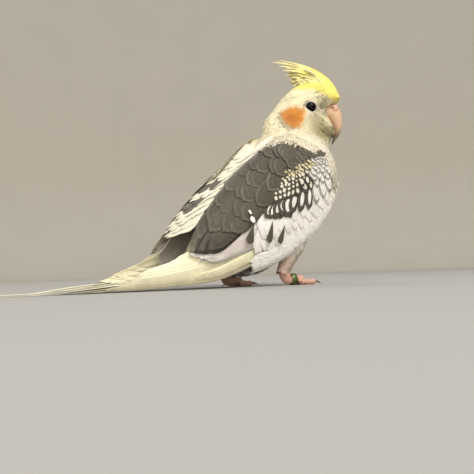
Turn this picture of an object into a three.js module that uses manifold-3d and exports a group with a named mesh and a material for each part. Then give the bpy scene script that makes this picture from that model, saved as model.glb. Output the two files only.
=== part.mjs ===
// A life-size cockatiel standing at rest on its two feet, its head turned to its right.
// Millimetres, +Z up, the bird faces +X, its right side is -Y, and the floor is z = 0.
import * as THREE from "three";
import { mergeVertices } from "three/addons/utils/BufferGeometryUtils.js";
import Module from "manifold-3d";

const wasm = await Module();
wasm.setup();

const radians = THREE.MathUtils.degToRad;
const lerp = THREE.MathUtils.lerp;
const vector = (x, y, z) => new THREE.Vector3(x, y, z);

const GAP = 0.3; // between solids that touch
const VANE_THICK = 0.6;
const RIGHT = -1;
const LEFT = 1;

// Body rows from the rump to the crown: centre of the section, lean of the body line, turn of
// its front, then the reach to the front (belly, breast, face), to the back and to each side,
// and the share by which the front narrows.
const BODY_ROWS = [
  { x: -62, y: 0, z: 11, lean: 26, turn: 0, front: 3, back: 3.5, side: 5, pinch: 0 },
  { x: -55, y: 0, z: 14.5, lean: 28, turn: 0, front: 8, back: 8, side: 10, pinch: 0 },
  { x: -44, y: 0, z: 21, lean: 34, turn: 0, front: 15, back: 15, side: 15, pinch: 0 },
  { x: -30, y: 0, z: 30, lean: 40, turn: 0, front: 26, back: 21.5, side: 19.5, pinch: 0 },
  { x: -14, y: 0, z: 43, lean: 44, turn: 0, front: 30, back: 25, side: 22, pinch: 0 },
  { x: 2, y: 0, z: 57, lean: 48, turn: 0, front: 28, back: 26, side: 23, pinch: 0 },
  { x: 15, y: 0, z: 73, lean: 54, turn: 0, front: 25, back: 24.5, side: 23, pinch: 0 },
  { x: 22.5, y: 0, z: 87, lean: 64, turn: 0, front: 22, back: 23.5, side: 21.5, pinch: 0 },
  { x: 26, y: -0.5, z: 97, lean: 75, turn: -9, front: 22, back: 24, side: 19.8, pinch: 0.1 },
  { x: 28, y: -0.8, z: 103, lean: 82, turn: -18, front: 23.5, back: 23.8, side: 18, pinch: 0.3 },
  { x: 30, y: -1.1, z: 108.5, lean: 87, turn: -28, front: 17, back: 22.6, side: 16.6, pinch: 0.5 },
  { x: 31.3, y: -1.4, z: 113, lean: 90, turn: -34, front: 15, back: 21, side: 15.4, pinch: 0.55 },
  { x: 32.3, y: -1.6, z: 116.2, lean: 90, turn: -36, front: 17.5, back: 19.6, side: 14.7, pinch: 0.4 },
  { x: 33, y: -1.8, z: 119, lean: 90, turn: -36, front: 21.5, back: 18.3, side: 14.2, pinch: 0.1 },
  { x: 33.5, y: -2, z: 122, lean: 90, turn: -36, front: 21.5, back: 16.2, side: 13.3, pinch: 0 },
  { x: 34.5, y: -2.5, z: 127, lean: 90, turn: -36, front: 18.3, back: 11.4, side: 10.8, pinch: 0 },
  { x: 35, y: -2.5, z: 130.6, lean: 90, turn: -36, front: 11.5, back: 6.5, side: 7, pinch: 0 },
  { x: 35, y: -2.5, z: 131.8, lean: 90, turn: -36, front: 4, back: 2.5, side: 2.5, pinch: 0 },
];
const BODY_END = BODY_ROWS.length - 1;
const BODY_STEPS = 42;
const BODY_SIDES = 24;
const NECK_CUT = 7.4; // rows along the body
const HEAD_CUT = 9.6;

// The surface that the folded wings lie on, from beyond their tips to the shoulder.
const MANTLE_ROWS = [
  { x: -127, y: 0, z: 7.5, lean: 3, turn: 0, front: 12.5, back: 3, side: 12 },
  { x: -104, y: 0, z: 9, lean: 6, turn: 0, front: 15, back: 5.5, side: 15.5 },
  { x: -82, y: 0, z: 11.5, lean: 14, turn: 0, front: 18, back: 9.5, side: 20 },
  { x: -62, y: 0, z: 17, lean: 26, turn: 0, front: 27, back: 15, side: 24 },
  { x: -46, y: 0, z: 26, lean: 34, turn: 0, front: 37.5, back: 20, side: 26.5 },
  { x: -30, y: 0, z: 35, lean: 40, turn: 0, front: 46, back: 24, side: 27 },
  { x: -14, y: 0, z: 46, lean: 44, turn: 0, front: 51, back: 26, side: 27.5 },
  { x: 2, y: 0, z: 59, lean: 48, turn: 0, front: 53, back: 27, side: 27.5 },
  { x: 15, y: 0, z: 75, lean: 54, turn: 0, front: 50, back: 25, side: 27 },
  { x: 23, y: 0, z: 89, lean: 62, turn: 0, front: 38, back: 24, side: 25 },
];
// The shoulder feathers swell beside the back, in rows along and degrees round.
const SWELL = { angle: 142, spread: 24, row: 6.6, reach: 3, rise: 4.5 };

// The tail's line: it leaves the rump at the slope of the back and comes to lie on the floor.
const TAIL = { x: -50, z: 15.5, slope: 26 };

// Head: where the head's own forward and right directions start, and its parts along them.
const HEAD = { x: 35, y: -2, turn: -36 };
const EYE = { forward: -0.1, z: 112.9, out: 12.7, radius: 4.3 };
const EYE_RING = { radius: 3.6, tube: 0.8, out: 14.6 };

// A smooth value of one field of the rows at position u, counted in rows.
function along(rows, field, u) {
  const last = rows.length - 1;
  const i = Math.min(Math.max(Math.floor(u), 0), last - 1);
  const t = u - i;
  const at = (k) => rows[Math.min(Math.max(k, 0), last)][field];
  const [a, b, c, d] = [at(i - 1), at(i), at(i + 1), at(i + 2)];
  return 0.5 * (2 * b + (c - a) * t + (2 * a - 5 * b + 4 * c - d) * t * t + (3 * b - a - 3 * c + d) * t ** 3);
}

// The point of a surface of rows at u along and angle round, 0 in front and 90 on the left, raised by lift.
function skinPoint(rows, u, angle, lift = 0) {
  const lean = radians(along(rows, "lean", u));
  const turn = radians(along(rows, "turn", u));
  const heading = vector(Math.cos(turn), Math.sin(turn), 0);
  const front = heading.clone().multiplyScalar(Math.sin(lean)).setZ(-Math.cos(lean));
  const left = vector(-heading.y, heading.x, 0);
  const a = radians(angle);
  const reach = Math.cos(a) > 0 ? along(rows, "front", u) : along(rows, "back", u);
  const narrow = rows[0].pinch === undefined ? 1 : 1 - along(rows, "pinch", u) * Math.max(Math.cos(a), 0) ** 2;
  return vector(along(rows, "x", u), along(rows, "y", u), along(rows, "z", u))
    .addScaledVector(front, Math.cos(a) * (reach + lift))
    .addScaledVector(left, Math.sin(a) * (along(rows, "side", u) * narrow + lift));
}

// A closed mesh from rings of points, each ring a list of the same length, with a pole at each end.
function ringMesh(rings) {
  const count = rings[0].length;
  const points = rings.flat();
  const faces = [];
  for (let i = 0; i + 1 < rings.length; i += 1)
    for (let j = 0; j < count; j += 1) {
      const a = i * count + j;
      const b = i * count + ((j + 1) % count);
      faces.push(a, b, a + count, b, b + count, a + count);
    }
  const poleOf = (ring) => ring.reduce((sum, p) => sum.add(p), vector(0, 0, 0)).divideScalar(count);
  const low = points.push(poleOf(rings[0])) - 1;
  const high = points.push(poleOf(rings.at(-1))) - 1;
  const top = (rings.length - 1) * count;
  for (let j = 0; j < count; j += 1) {
    const next = (j + 1) % count;
    faces.push(low, next, j, high, top + j, top + next);
  }
  return new THREE.BufferGeometry().setFromPoints(points).setIndex(faces);
}

function sweptBody(rows, from, to, steps, count, lift = 0) {
  const rings = [];
  for (let i = 0; i <= steps; i += 1) {
    const u = lerp(from, to, i / steps);
    rings.push(Array.from({ length: count }, (_, j) => skinPoint(rows, u, (360 * j) / count, lift)));
  }
  return ringMesh(rings);
}

// A closed tube along a list of points, with a radius at each and a flattening of its height.
function tube(points, radii, count, flat = 1) {
  const up = vector(0, 0, 1);
  const rings = points.map((p, i) => {
    const tangent = points[Math.min(i + 1, points.length - 1)].clone().sub(points[Math.max(i - 1, 0)]).normalize();
    const across = vector(0, 0, 0).crossVectors(up, tangent);
    if (across.length() < 0.05) across.set(0, 1, 0);
    across.normalize();
    const high = vector(0, 0, 0).crossVectors(tangent, across);
    return Array.from({ length: count }, (_, j) => {
      const a = (2 * Math.PI * (j + 0.5)) / count;
      return p
        .clone()
        .addScaledVector(across, radii[i] * Math.cos(a))
        .addScaledVector(high, radii[i] * flat * Math.sin(a));
    });
  });
  return ringMesh(rings);
}

// A feather vane: spot(t, c) gives the point and the outward normal at t along and c across (-1 to 1).
// Both faces have the same triangles.
function vane(spot, profile, columns, thick = VANE_THICK) {
  const points = [];
  const rows = profile.map(([t, width]) =>
    columns.map((c) => {
      const { point, normal } = spot(t, c * width);
      const index = points.length;
      const half = (thick / 2) * (c === 0 ? 1.35 : 1);
      points.push(point.clone().addScaledVector(normal, half), point.clone().addScaledVector(normal, -half));
      return index;
    }),
  );
  const faces = [];
  const quad = (a, b, c, d) => faces.push(a, b, c, a, c, d);
  const last = columns.length - 1;
  for (let i = 0; i + 1 < rows.length; i += 1) {
    for (let j = 0; j < last; j += 1) {
      const [a, b, c, d] = [rows[i][j], rows[i][j + 1], rows[i + 1][j + 1], rows[i + 1][j]];
      faces.push(a, b, c, a, c, d);
      faces.push(c + 1, b + 1, a + 1, d + 1, c + 1, a + 1);
    }
    quad(rows[i][0], rows[i + 1][0], rows[i + 1][0] + 1, rows[i][0] + 1);
    quad(rows[i][last] + 1, rows[i + 1][last] + 1, rows[i + 1][last], rows[i][last]);
  }
  const end = rows.length - 1;
  for (let j = 0; j < last; j += 1) {
    quad(rows[0][j] + 1, rows[0][j + 1] + 1, rows[0][j + 1], rows[0][j]);
    quad(rows[end][j], rows[end][j + 1], rows[end][j + 1] + 1, rows[end][j] + 1);
  }
  return new THREE.BufferGeometry().setFromPoints(points).setIndex(faces);
}

// Widths along a feather, as [share of its length, share of its half width].
const LONG_VANE = [[0, 0.5], [0.4, 1], [0.75, 0.95], [0.93, 0.65], [1, 0.2]];
const SIDE_VANE = [[0, 0.6], [0.35, 1], [0.75, 1], [0.93, 0.75], [1, 0.25]];
const CENTRAL_VANE = [[0, 1], [0.3, 1], [0.5, 1], [0.66, 0.95], [0.84, 0.7], [1, 0.2]];
const CREST_VANE = [[0, 0.8], [0.3, 1], [0.6, 0.85], [0.85, 0.55], [1, 0.15]];
const SHORT_VANE = [[0, 0.5], [0.5, 1], [0.82, 0.85], [1, 0.3]];

// Solids
function solid(geometry) {
  const bare = geometry.clone();
  bare.deleteAttribute("normal");
  bare.deleteAttribute("uv");
  const merged = mergeVertices(bare, 1e-4);
  const mesh = new wasm.Mesh({
    numProp: 3,
    vertProperties: new Float32Array(merged.attributes.position.array),
    triVerts: new Uint32Array(merged.index.array),
  });
  const made = new wasm.Manifold(mesh);
  if (made.volume() > 0) return made;
  for (let i = 0; i < mesh.triVerts.length; i += 3)
    [mesh.triVerts[i], mesh.triVerts[i + 1]] = [mesh.triVerts[i + 1], mesh.triVerts[i]];
  return new wasm.Manifold(mesh);
}

const join = (solids) => solids.reduce((sum, s) => sum.add(s));

// The largest closed surface of a solid, as a geometry.
function largest(made) {
  const parts = made.decompose();
  const biggest = parts.reduce((a, b) => (b.volume() > a.volume() ? b : a));
  const { vertProperties, triVerts, numProp, numVert } = biggest.getMesh();
  const positions = new Float32Array(numVert * 3);
  for (let i = 0; i < numVert; i += 1)
    positions.set(vertProperties.subarray(i * numProp, i * numProp + 3), i * 3);
  return new THREE.BufferGeometry()
    .setAttribute("position", new THREE.BufferAttribute(positions, 3))
    .setIndex(new THREE.BufferAttribute(new Uint32Array(triVerts), 1));
}

const bird = new THREE.Group();
const FINISH = {
  cream: { color: 0xf1e9d2, roughness: 0.9 },
  grey: { color: 0x6f6a64, roughness: 0.85 },
  yellow: { color: 0xf3e268, roughness: 0.85 },
  horn: { color: 0xe0ab8c, roughness: 0.5 },
  skin: { color: 0xdcb09c, roughness: 0.7 },
  eye: { color: 0x120c0c, roughness: 0.08 },
  band: { color: 0x566b3a, roughness: 0.35 },
};
function add(name, finish, made) {
  const geometry = largest(made);
  geometry.computeVertexNormals();
  const mesh = new THREE.Mesh(geometry, new THREE.MeshStandardMaterial({ ...FINISH[finish], metalness: 0 }));
  mesh.name = name;
  bird.add(mesh);
  return mesh;
}

// Head directions
const ahead = vector(Math.cos(radians(HEAD.turn)), Math.sin(radians(HEAD.turn)), 0);
const toRight = vector(ahead.y, -ahead.x, 0);
const headPoint = (forward, right, z) =>
  vector(HEAD.x, HEAD.y, z).addScaledVector(ahead, forward).addScaledVector(toRight, right);

function ball(centre, radius, rough = 16) {
  const geometry = new THREE.SphereGeometry(radius, rough, rough / 2);
  return solid(geometry.translate(centre.x, centre.y, centre.z));
}

// Bill: rows of centre (forward, z), lean of the line, half height and half width.
const UPPER_BILL = [
  { forward: 8, z: 112, lean: 0, high: 4.4, wide: 4.8 },
  { forward: 12.5, z: 112, lean: -8, high: 4.9, wide: 5.3 },
  { forward: 16.4, z: 110.8, lean: -42, high: 5.3, wide: 5.2 },
  { forward: 17.9, z: 106.5, lean: -74, high: 4.1, wide: 4.6 },
  { forward: 18.6, z: 102, lean: -90, high: 2.8, wide: 3.5 },
  { forward: 17.9, z: 98, lean: -108, high: 1.9, wide: 2.3 },
  { forward: 16, z: 94, lean: -122, high: 1, wide: 1.2 },
  { forward: 14.6, z: 91.2, lean: -124, high: 0.4, wide: 0.45 },
];
const LOWER_BILL = [
  { forward: 7.5, z: 100.8, lean: 0, high: 3.4, wide: 4.2 },
  { forward: 11.5, z: 99.8, lean: 0, high: 3.6, wide: 4 },
  { forward: 14.6, z: 99.4, lean: 18, high: 2.8, wide: 3.2 },
  { forward: 16.8, z: 100.2, lean: 38, high: 1.3, wide: 1.7 },
];
function billRings(rows, steps, count, lift) {
  const rings = [];
  for (let i = 0; i <= steps; i += 1) {
    const u = ((rows.length - 1) * i) / steps;
    const lean = radians(along(rows, "lean", u));
    const high = along(rows, "high", u) + lift;
    const wide = along(rows, "wide", u) + lift;
    const forward = along(rows, "forward", u) + (i === 0 ? -lift : i === steps ? lift : 0);
    rings.push(
      Array.from({ length: count }, (_, j) => {
        const a = (2 * Math.PI * j) / count;
        const rise = Math.cos(a) * high;
        return headPoint(
          forward - Math.sin(lean) * rise,
          Math.sin(a) * wide,
          along(rows, "z", u) + Math.cos(lean) * rise,
        );
      }),
    );
  }
  return ringMesh(rings);
}
const upperBill = (lift) => solid(billRings(UPPER_BILL, 12, 12, lift));
const lowerBill = (lift) => solid(billRings(LOWER_BILL, 6, 10, lift));
const CERE = { forward: 17, z: 114, right: 3, radius: 3.4 };
const NOSTRIL = { forward: 16, z: 114.6, right: 6.3, radius: 0.8 };
const cere = (lift) =>
  join([-1, 1].map((s) => ball(headPoint(CERE.forward, s * CERE.right, CERE.z), CERE.radius + lift, 10)));
const nostrils = () =>
  join([-1, 1].map((s) => ball(headPoint(NOSTRIL.forward, s * NOSTRIL.right, NOSTRIL.z), NOSTRIL.radius, 6)));

// Body: one swept surface, parted at the neck.
const wholeBody = solid(sweptBody(BODY_ROWS, 0, BODY_END, BODY_STEPS, BODY_SIDES));
function cutAt(u) {
  const centre = skinPoint(BODY_ROWS, u, 0).add(skinPoint(BODY_ROWS, u, 180)).multiplyScalar(0.5);
  const lean = radians(along(BODY_ROWS, "lean", u));
  return { centre, lean };
}
// A block that fills the side of a cut across the body, above (+1) or below (-1), half a gap away.
function halfSpace(u, side) {
  const { centre, lean } = cutAt(u);
  const size = 200;
  const geometry = new THREE.BoxGeometry(size, size, size);
  geometry.translate(0, 0, side * (size / 2 + GAP / 2));
  geometry.rotateY(Math.PI / 2 - lean);
  return solid(geometry.translate(centre.x, centre.y, centre.z));
}
const bellyAndBack = wholeBody.intersect(halfSpace(NECK_CUT, -1));
const neck = wholeBody.intersect(halfSpace(NECK_CUT, 1)).intersect(halfSpace(HEAD_CUT, -1));
const skull = wholeBody.intersect(halfSpace(HEAD_CUT, 1));

function eyeBall(side, lift) {
  return ball(headPoint(EYE.forward, side * EYE.out, EYE.z), EYE.radius + lift, 14);
}
function eyeRing(side) {
  const ring = new THREE.TorusGeometry(EYE_RING.radius, EYE_RING.tube, 5, 14);
  ring.applyQuaternion(new THREE.Quaternion().setFromUnitVectors(vector(0, 0, 1), toRight));
  const p = headPoint(EYE.forward, side * EYE_RING.out, EYE.z);
  return solid(ring.translate(p.x, p.y, p.z));
}

// Folded wing: tiers of vanes laid on the guide surface. Places are [rows along, degrees round].
// Each tier runs from its outermost feather, low on the flank, to its innermost, by the back.
const WING_TIERS = [
  {
    name: "primaries", count: 5, wide: 9.5, lift: [-0.3, 0.1], tilt: 0.34, shape: LONG_VANE,
    root: [[3.4, 68], [3.1, 84], [2.9, 100]], tip: [[0.32, 63], [0.9, 84], [2, 108]],
  },
  {
    name: "secondaries", count: 4, wide: 11, lift: [-0.3, 2], tilt: 0.22, shape: LONG_VANE,
    root: [[4.6, 79], [4.3, 93], [4.0, 108]], tip: [[3.3, 78], [2.75, 94], [2.6, 118]],
  },
  {
    name: "tertials", count: 3, wide: 13.5, lift: [0, 4], tilt: 0.19, shape: LONG_VANE,
    root: [[4.7, 108], [4.6, 145]], tip: [[3.1, 98], [2.8, 114], [3.2, 136]],
  },
  {
    name: "scapulars_low", count: 3, wide: 15, lift: [0, 4.2], tilt: 0.15, shape: SHORT_VANE,
    root: [[6.0, 114], [5.8, 148]], tip: [[4.2, 99], [3.9, 120], [4.3, 146]],
  },
  {
    name: "scapulars_mid", count: 3, wide: 13.5, lift: [0, 3.8], tilt: 0.12, shape: SHORT_VANE,
    root: [[7.0, 126], [6.8, 150]], tip: [[5.4, 114], [5.2, 148]],
  },
  {
    name: "scapulars_top", count: 2, wide: 14, lift: [-1.2, 3.8], tilt: 0.12, shape: SHORT_VANE,
    root: [[7.7, 126], [7.5, 144]], tip: [[6.5, 126], [6.3, 148]],
  },
  {
    name: "greater_coverts", count: 7, wide: 9.5, lift: [-0.1, 2.6], tilt: 0.16, shape: SHORT_VANE,
    root: [[5.3, 90], [6.5, 80], [7.9, 72]], tip: [[4.5, 75], [5.4, 67], [6.4, 61], [7.5, 60]],
  },
  {
    name: "median_coverts", count: 6, wide: 10, lift: [-0.1, 3], tilt: 0.15, shape: SHORT_VANE,
    root: [[6.0, 103], [7.0, 93], [8.2, 78]], tip: [[5.25, 93], [6.1, 81], [7.85, 65]],
  },
  {
    name: "lesser_coverts", count: 5, wide: 11, lift: [-0.1, 3.2], tilt: 0.13, shape: SHORT_VANE,
    root: [[6.7, 112], [7.5, 102], [8.4, 86]], tip: [[5.85, 105], [6.8, 91], [8.15, 71]],
  },
  {
    name: "shoulder_coverts", count: 4, wide: 11, lift: [-1.2, 3.2], tilt: 0.13, shape: SHORT_VANE,
    root: [[7.5, 119], [8, 108], [8.5, 95]], tip: [[6.75, 113], [7.5, 98], [8.35, 80]],
  },
];
const WING_CORE = { from: 2.5, to: 8.4, steps: 8, columns: 4, outside: 0.6 };
const CORE_EDGES = [
  { low: 76, high: 120, inside: 0.9 },
  { low: 68, high: 140, inside: 1.6 },
  { low: 64, high: 147, inside: 4 },
  { low: 60, high: 153, inside: 7 },
  { low: 59, high: 154, inside: 8 },
  { low: 62, high: 147, inside: 8 },
  { low: 80, high: 122, inside: 5 },
];

// Greatest shares by which a feather is shorter and narrower than its tier, drawn from a fixed start.
const VARY = { length: 0.06, wide: 0.1 };
let seed = 11;
function draw() {
  seed = (seed * 16807) % 2147483647;
  return seed / 2147483647;
}

function placeAt(list, share) {
  const at = share * (list.length - 1);
  const i = Math.min(Math.floor(at), list.length - 2);
  return list[i].map((value, k) => lerp(value, list[i + 1][k], at - i));
}

function wingPoint(u, angle, lift) {
  const off = ((u - SWELL.row) / SWELL.reach) ** 2 + ((angle - SWELL.angle) / SWELL.spread) ** 2;
  return skinPoint(MANTLE_ROWS, u, angle, lift + SWELL.rise * Math.exp(-off));
}

// A point on the guide surface with the directions along it, round it and outward.
function guideFrame(u, angle, lift) {
  const point = wingPoint(u, angle, lift);
  const alongU = wingPoint(u + 0.05, angle, lift).sub(point).multiplyScalar(20);
  const round = wingPoint(u, angle + 1, lift).sub(point);
  const normal = vector(0, 0, 0).crossVectors(round, alongU).normalize();
  return { point, alongU, round, normal };
}

// Steps of u and angle that move one millimetre across a feather that runs by (du, da).
function acrossStep(frame, du, da) {
  const { alongU, round, normal } = frame;
  const tangent = alongU.clone().multiplyScalar(du).addScaledVector(round, da);
  const across = vector(0, 0, 0).crossVectors(normal, tangent).normalize();
  const uu = alongU.dot(alongU);
  const rr = round.dot(round);
  const ur = alongU.dot(round);
  const det = uu * rr - ur * ur;
  const a = across.dot(alongU);
  const b = across.dot(round);
  return [(a * rr - b * ur) / det, (b * uu - a * ur) / det];
}

function wingVane(side, tier, share) {
  const root = placeAt(tier.root, share);
  const tip = placeAt(tier.tip, share);
  const stretch = 1 - VARY.length * draw();
  const wide = tier.wide * (1 - VARY.wide * draw());
  const du = (tip[0] - root[0]) * stretch;
  const da = (tip[1] - root[1]) * stretch;
  const middle = guideFrame((root[0] + tip[0]) / 2, (root[1] + tip[1]) / 2, 0);
  const [stepU, stepA] = acrossStep(middle, du, da);
  const spot = (t, c) => {
    const reach = (c * wide) / 2;
    const lift = lerp(tier.lift[0], tier.lift[1], t) + tier.tilt * reach;
    const frame = guideFrame(root[0] + du * t + stepU * reach, root[1] + da * t + stepA * reach, lift);
    frame.point.y *= side;
    frame.normal.y *= side;
    return frame;
  };
  return solid(vane(spot, tier.shape, [-1, 1]));
}

function wingCore(side) {
  const { from, to, steps, columns, outside } = WING_CORE;
  const rings = [];
  for (let i = 0; i <= steps; i += 1) {
    const u = lerp(from, to, i / steps);
    const at = (i / steps) * (CORE_EDGES.length - 1);
    const [low, high, inside] = ["low", "high", "inside"].map((field) => along(CORE_EDGES, field, at));
    const ring = [];
    for (let j = 0; j <= columns; j += 1) ring.push([lerp(low, high, j / columns), outside]);
    for (let j = columns; j >= 0; j -= 1) ring.push([lerp(low, high, j / columns), -inside]);
    rings.push(ring.map(([angle, lift]) => {
      const p = wingPoint(u, angle, lift);
      p.y *= side;
      return p;
    }));
  }
  return solid(ringMesh(rings));
}

function wing(side) {
  const pieces = [wingCore(side)];
  for (const tier of WING_TIERS)
    for (let i = 0; i < tier.count; i += 1) pieces.push(wingVane(side, tier, i / (tier.count - 1)));
  return join(pieces);
}

// Tail: the line it follows, s millimetres from its base, then up from that line.
const TAIL_SLOPE = radians(TAIL.slope);
const TAIL_BEND = (TAIL.z * TAIL_SLOPE) / (1 - Math.cos(TAIL_SLOPE));
function tailFrame(s, y, lift) {
  const slope = TAIL_SLOPE * Math.max(1 - s / TAIL_BEND, 0);
  const bent = Math.min(s, TAIL_BEND);
  const x = TAIL.x - (TAIL_BEND / TAIL_SLOPE) * (Math.sin(TAIL_SLOPE) - Math.sin(slope)) - (s - bent);
  const z = (TAIL_BEND / TAIL_SLOPE) * (1 - Math.cos(slope));
  const normal = vector(-Math.sin(slope), 0, Math.cos(slope));
  return { point: vector(x, y, z).addScaledVector(normal, lift), normal };
}
const TAIL_STEP = 0.9; // from one rectrix up to the next
const TAIL_LOWEST = 0.25;
// Rectrices from the outermost, lowest pair to the central pair on top.
const RECTRICES = [
  { length: 62, wide: 8, out: 5.2, fan: 0.022 },
  { length: 74, wide: 8.4, out: 5, fan: 0.018 },
  { length: 84, wide: 8.8, out: 4.9, fan: 0.012 },
  { length: 91, wide: 9, out: 4.7, fan: 0.006 },
  { length: 96, wide: 9, out: 4.6, fan: 0 },
  { length: 140, wide: 5, out: -0.9, fan: 0.006 },
  { length: 149, wide: 5, out: 0.9, fan: -0.006 },
];
const TAIL_CORE = [
  { s: -9, high: 7, low: 6, wide: 7.5, mid: 0 },
  { s: 0, high: 7, low: 6.5, wide: 9, mid: 1.5 },
  { s: 12, high: 5.5, low: 5.5, wide: 9, mid: 2.2 },
  { s: 22, high: 3.8, low: 3.4, wide: 8, mid: 2.6 },
  { s: 30, high: 1.4, low: 1.4, wide: 5, mid: 3 },
];
const smooth = (low, high, value) => THREE.MathUtils.smoothstep(value, low, high);

// How high a rectrix rides over those under it, which end one after another.
function rectrixLift(index, s) {
  const under = RECTRICES.slice(0, index);
  return under.reduce((sum, r) => sum + TAIL_STEP * (1 - smooth(r.length - 6, r.length + 12, s)), TAIL_LOWEST);
}

function rectrix(index, side) {
  const { length, wide, out, fan } = RECTRICES[index];
  const root = 12;
  const spot = (t, c) => {
    const s = lerp(root, length, t);
    return tailFrame(s, side * (out + fan * s) + (c * wide) / 2, rectrixLift(index, s));
  };
  return solid(vane(spot, length > 100 ? CENTRAL_VANE : SIDE_VANE, length > 100 ? [-1, 0, 1] : [-1, 1]));
}

function tailCore(lift = 0) {
  const rings = [];
  for (let i = 0; i <= 6; i += 1) {
    const at = (i / 6) * (TAIL_CORE.length - 1);
    const [s, high, low, wide, mid] = ["s", "high", "low", "wide", "mid"].map((f) => along(TAIL_CORE, f, at));
    const start = i === 0 ? s - lift : s;
    rings.push(Array.from({ length: 12 }, (_, j) => {
      const a = (2 * Math.PI * (j + 0.5)) / 12;
      const rise = Math.sin(a) * ((Math.sin(a) > 0 ? high : low) + lift);
      return tailFrame(start, Math.cos(a) * (wide + lift), mid + rise).point;
    }));
  }
  return solid(ringMesh(rings));
}

function floorRoom() {
  return solid(new THREE.BoxGeometry(600, 200, 60).translate(-60, 0, -30));
}

const COVERT_ROWS = [
  { s: 12, length: 28, places: [-4.5, 0, 4.5], lift: [5.6, 8] },
  { s: 0, length: 26, places: [-5, 0, 5], lift: [6, 9.4] },
];
function tailCoverts() {
  return COVERT_ROWS.flatMap((row) => row.places.map((place, i) => {
    const spot = (t, c) => {
      const across = place * (1 + 0.25 * t) + c * 3.4;
      const drop = 0.05 * across ** 2;
      return tailFrame(row.s + row.length * t, across, lerp(...row.lift, t) - drop + 0.35 * (i % 2));
    };
    return solid(vane(spot, SHORT_VANE, [-1, 1]));
  }));
}

function tail() {
  const vanes = RECTRICES.flatMap((r, i) => (i < 5 ? [rectrix(i, LEFT), rectrix(i, RIGHT)] : [rectrix(i, LEFT)]));
  return join([tailCore(), ...vanes, ...tailCoverts()]).subtract(floorRoom());
}

// Crest: feathers that rise from the crown and sweep back, the front ones the longest.
const CREST_TIPS = [
  { forward: -23.4, z: 146.4 },
  { forward: -19.2, z: 148.6 },
  { forward: -17.5, z: 142.6 },
  { forward: -14, z: 139.4 },
  { forward: -12, z: 136 },
  { forward: -9, z: 132.5 },
];
const CREST_PATCH = [
  { forward: 19.2, z: 124.4, high: 0.6, wide: 1.5, lean: 0.6 },
  { forward: 15.5, z: 128.3, high: 2.6, wide: 4, lean: 0.6 },
  { forward: 10.5, z: 131.3, high: 3.6, wide: 5.2, lean: 0.4 },
  { forward: 5, z: 132.2, high: 3.4, wide: 5.4, lean: 0.1 },
  { forward: 0, z: 131.4, high: 2.4, wide: 4.4, lean: -0.1 },
  { forward: -4, z: 130, high: 0.7, wide: 2, lean: -0.2 },
];
const CREST = { from: 18, to: 3, low: 124.6, top: 132, wide: 3 };
function crestFeather(tip, share, right) {
  const root = headPoint(lerp(CREST.from, CREST.to, share), right, lerp(CREST.low, CREST.top, Math.sqrt(share)));
  const end = headPoint(tip.forward, right * 0.7, tip.z);
  const first = headPoint(lerp(14, 0, share), right, lerp(138, 135.5, share));
  const second = headPoint(lerp(-1, -5, share), right, lerp(143.8, 134.8, share));
  const curve = new THREE.CubicBezierCurve3(root, first, second, end);
  const spot = (t, c) => {
    const tangent = curve.getTangent(t);
    const normal = vector(0, 0, 0).crossVectors(tangent, toRight).normalize();
    const point = curve.getPoint(t).addScaledVector(toRight, (c * CREST.wide) / 2);
    return { point: point.addScaledVector(normal, -0.12 * c * c * CREST.wide), normal };
  };
  return solid(vane(spot, CREST_VANE, [-1, 1], 0.8));
}

function crest() {
  const pieces = [];
  CREST_TIPS.forEach((tip, i) => {
    const share = i / (CREST_TIPS.length - 1);
    const across = i % 2 ? [-2.8, 2.8] : [-1.7, 1.7];
    for (const right of across) pieces.push(crestFeather(tip, share, right));
  });
  const patch = CREST_PATCH.map((row) =>
    Array.from({ length: 8 }, (_, j) => {
      const a = (2 * Math.PI * j) / 8;
      return headPoint(row.forward + row.lean * Math.sin(a) * row.high, Math.cos(a) * row.wide, row.z + Math.sin(a) * row.high);
    }),
  );
  return join([solid(ringMesh(patch)), ...pieces]).subtract(bodyRoom);
}

// Leg: the feathered shin, the bare tarsus with the heel on the floor, and the foot's four toes.
const LEGS = {
  right: { hip: [10, -14.5, 31], shin: [4.5, -16, 21], hock: [-2.6, -16.6, 9.2], heel: [-0.4, -17, 3.7], foot: [10.5, -17.8, 3.5] },
  left: { hip: [-12, 13, 31], shin: [-17.5, 14.5, 20], hock: [-24.4, 15.4, 9.2], heel: [-22.2, 15.8, 3.7], foot: [-11.5, 16.4, 3.5] },
};
const SHIN_ROWS = [[0, 7], [0.15, 8.4], [0.35, 7.4], [0.6, 5.2], [0.8, 4.3], [1, 3.7]];
const TARSUS_RADII = [3.1, 3.3, 3.2, 2.8, 2.5, 2.4, 2.4, 2.4, 2.4];
const TOES = [
  { turn: 13, length: 9.5, radius: 1.8, claw: 3.8 },
  { turn: -22, length: 8, radius: 1.7, claw: 3.6 },
  { turn: 131, length: 8.5, radius: 1.6, claw: 3.6 },
  { turn: -128, length: 6, radius: 1.6, claw: 3.2 },
];
const point = ([x, y, z]) => vector(x, y, z);

function shin(leg, lift = 0) {
  const curve = new THREE.CatmullRomCurve3([leg.hip, leg.shin, leg.hock].map(point));
  const places = SHIN_ROWS.map(([t]) => curve.getPoint(t));
  places[0].addScaledVector(places[0].clone().sub(places[1]).normalize(), lift);
  places.at(-1).addScaledVector(places.at(-1).clone().sub(places.at(-2)).normalize(), lift);
  return solid(tube(places, SHIN_ROWS.map(([, radius]) => radius + lift), 12));
}

function tarsusLine(leg) {
  const hock = point(leg.hock);
  const heel = point(leg.heel);
  const foot = point(leg.foot);
  const top = hock.clone().add(vector(-0.3, 0, 0.3));
  return new THREE.CatmullRomCurve3([top, heel, heel.clone().lerp(foot, 0.45), foot]);
}

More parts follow.
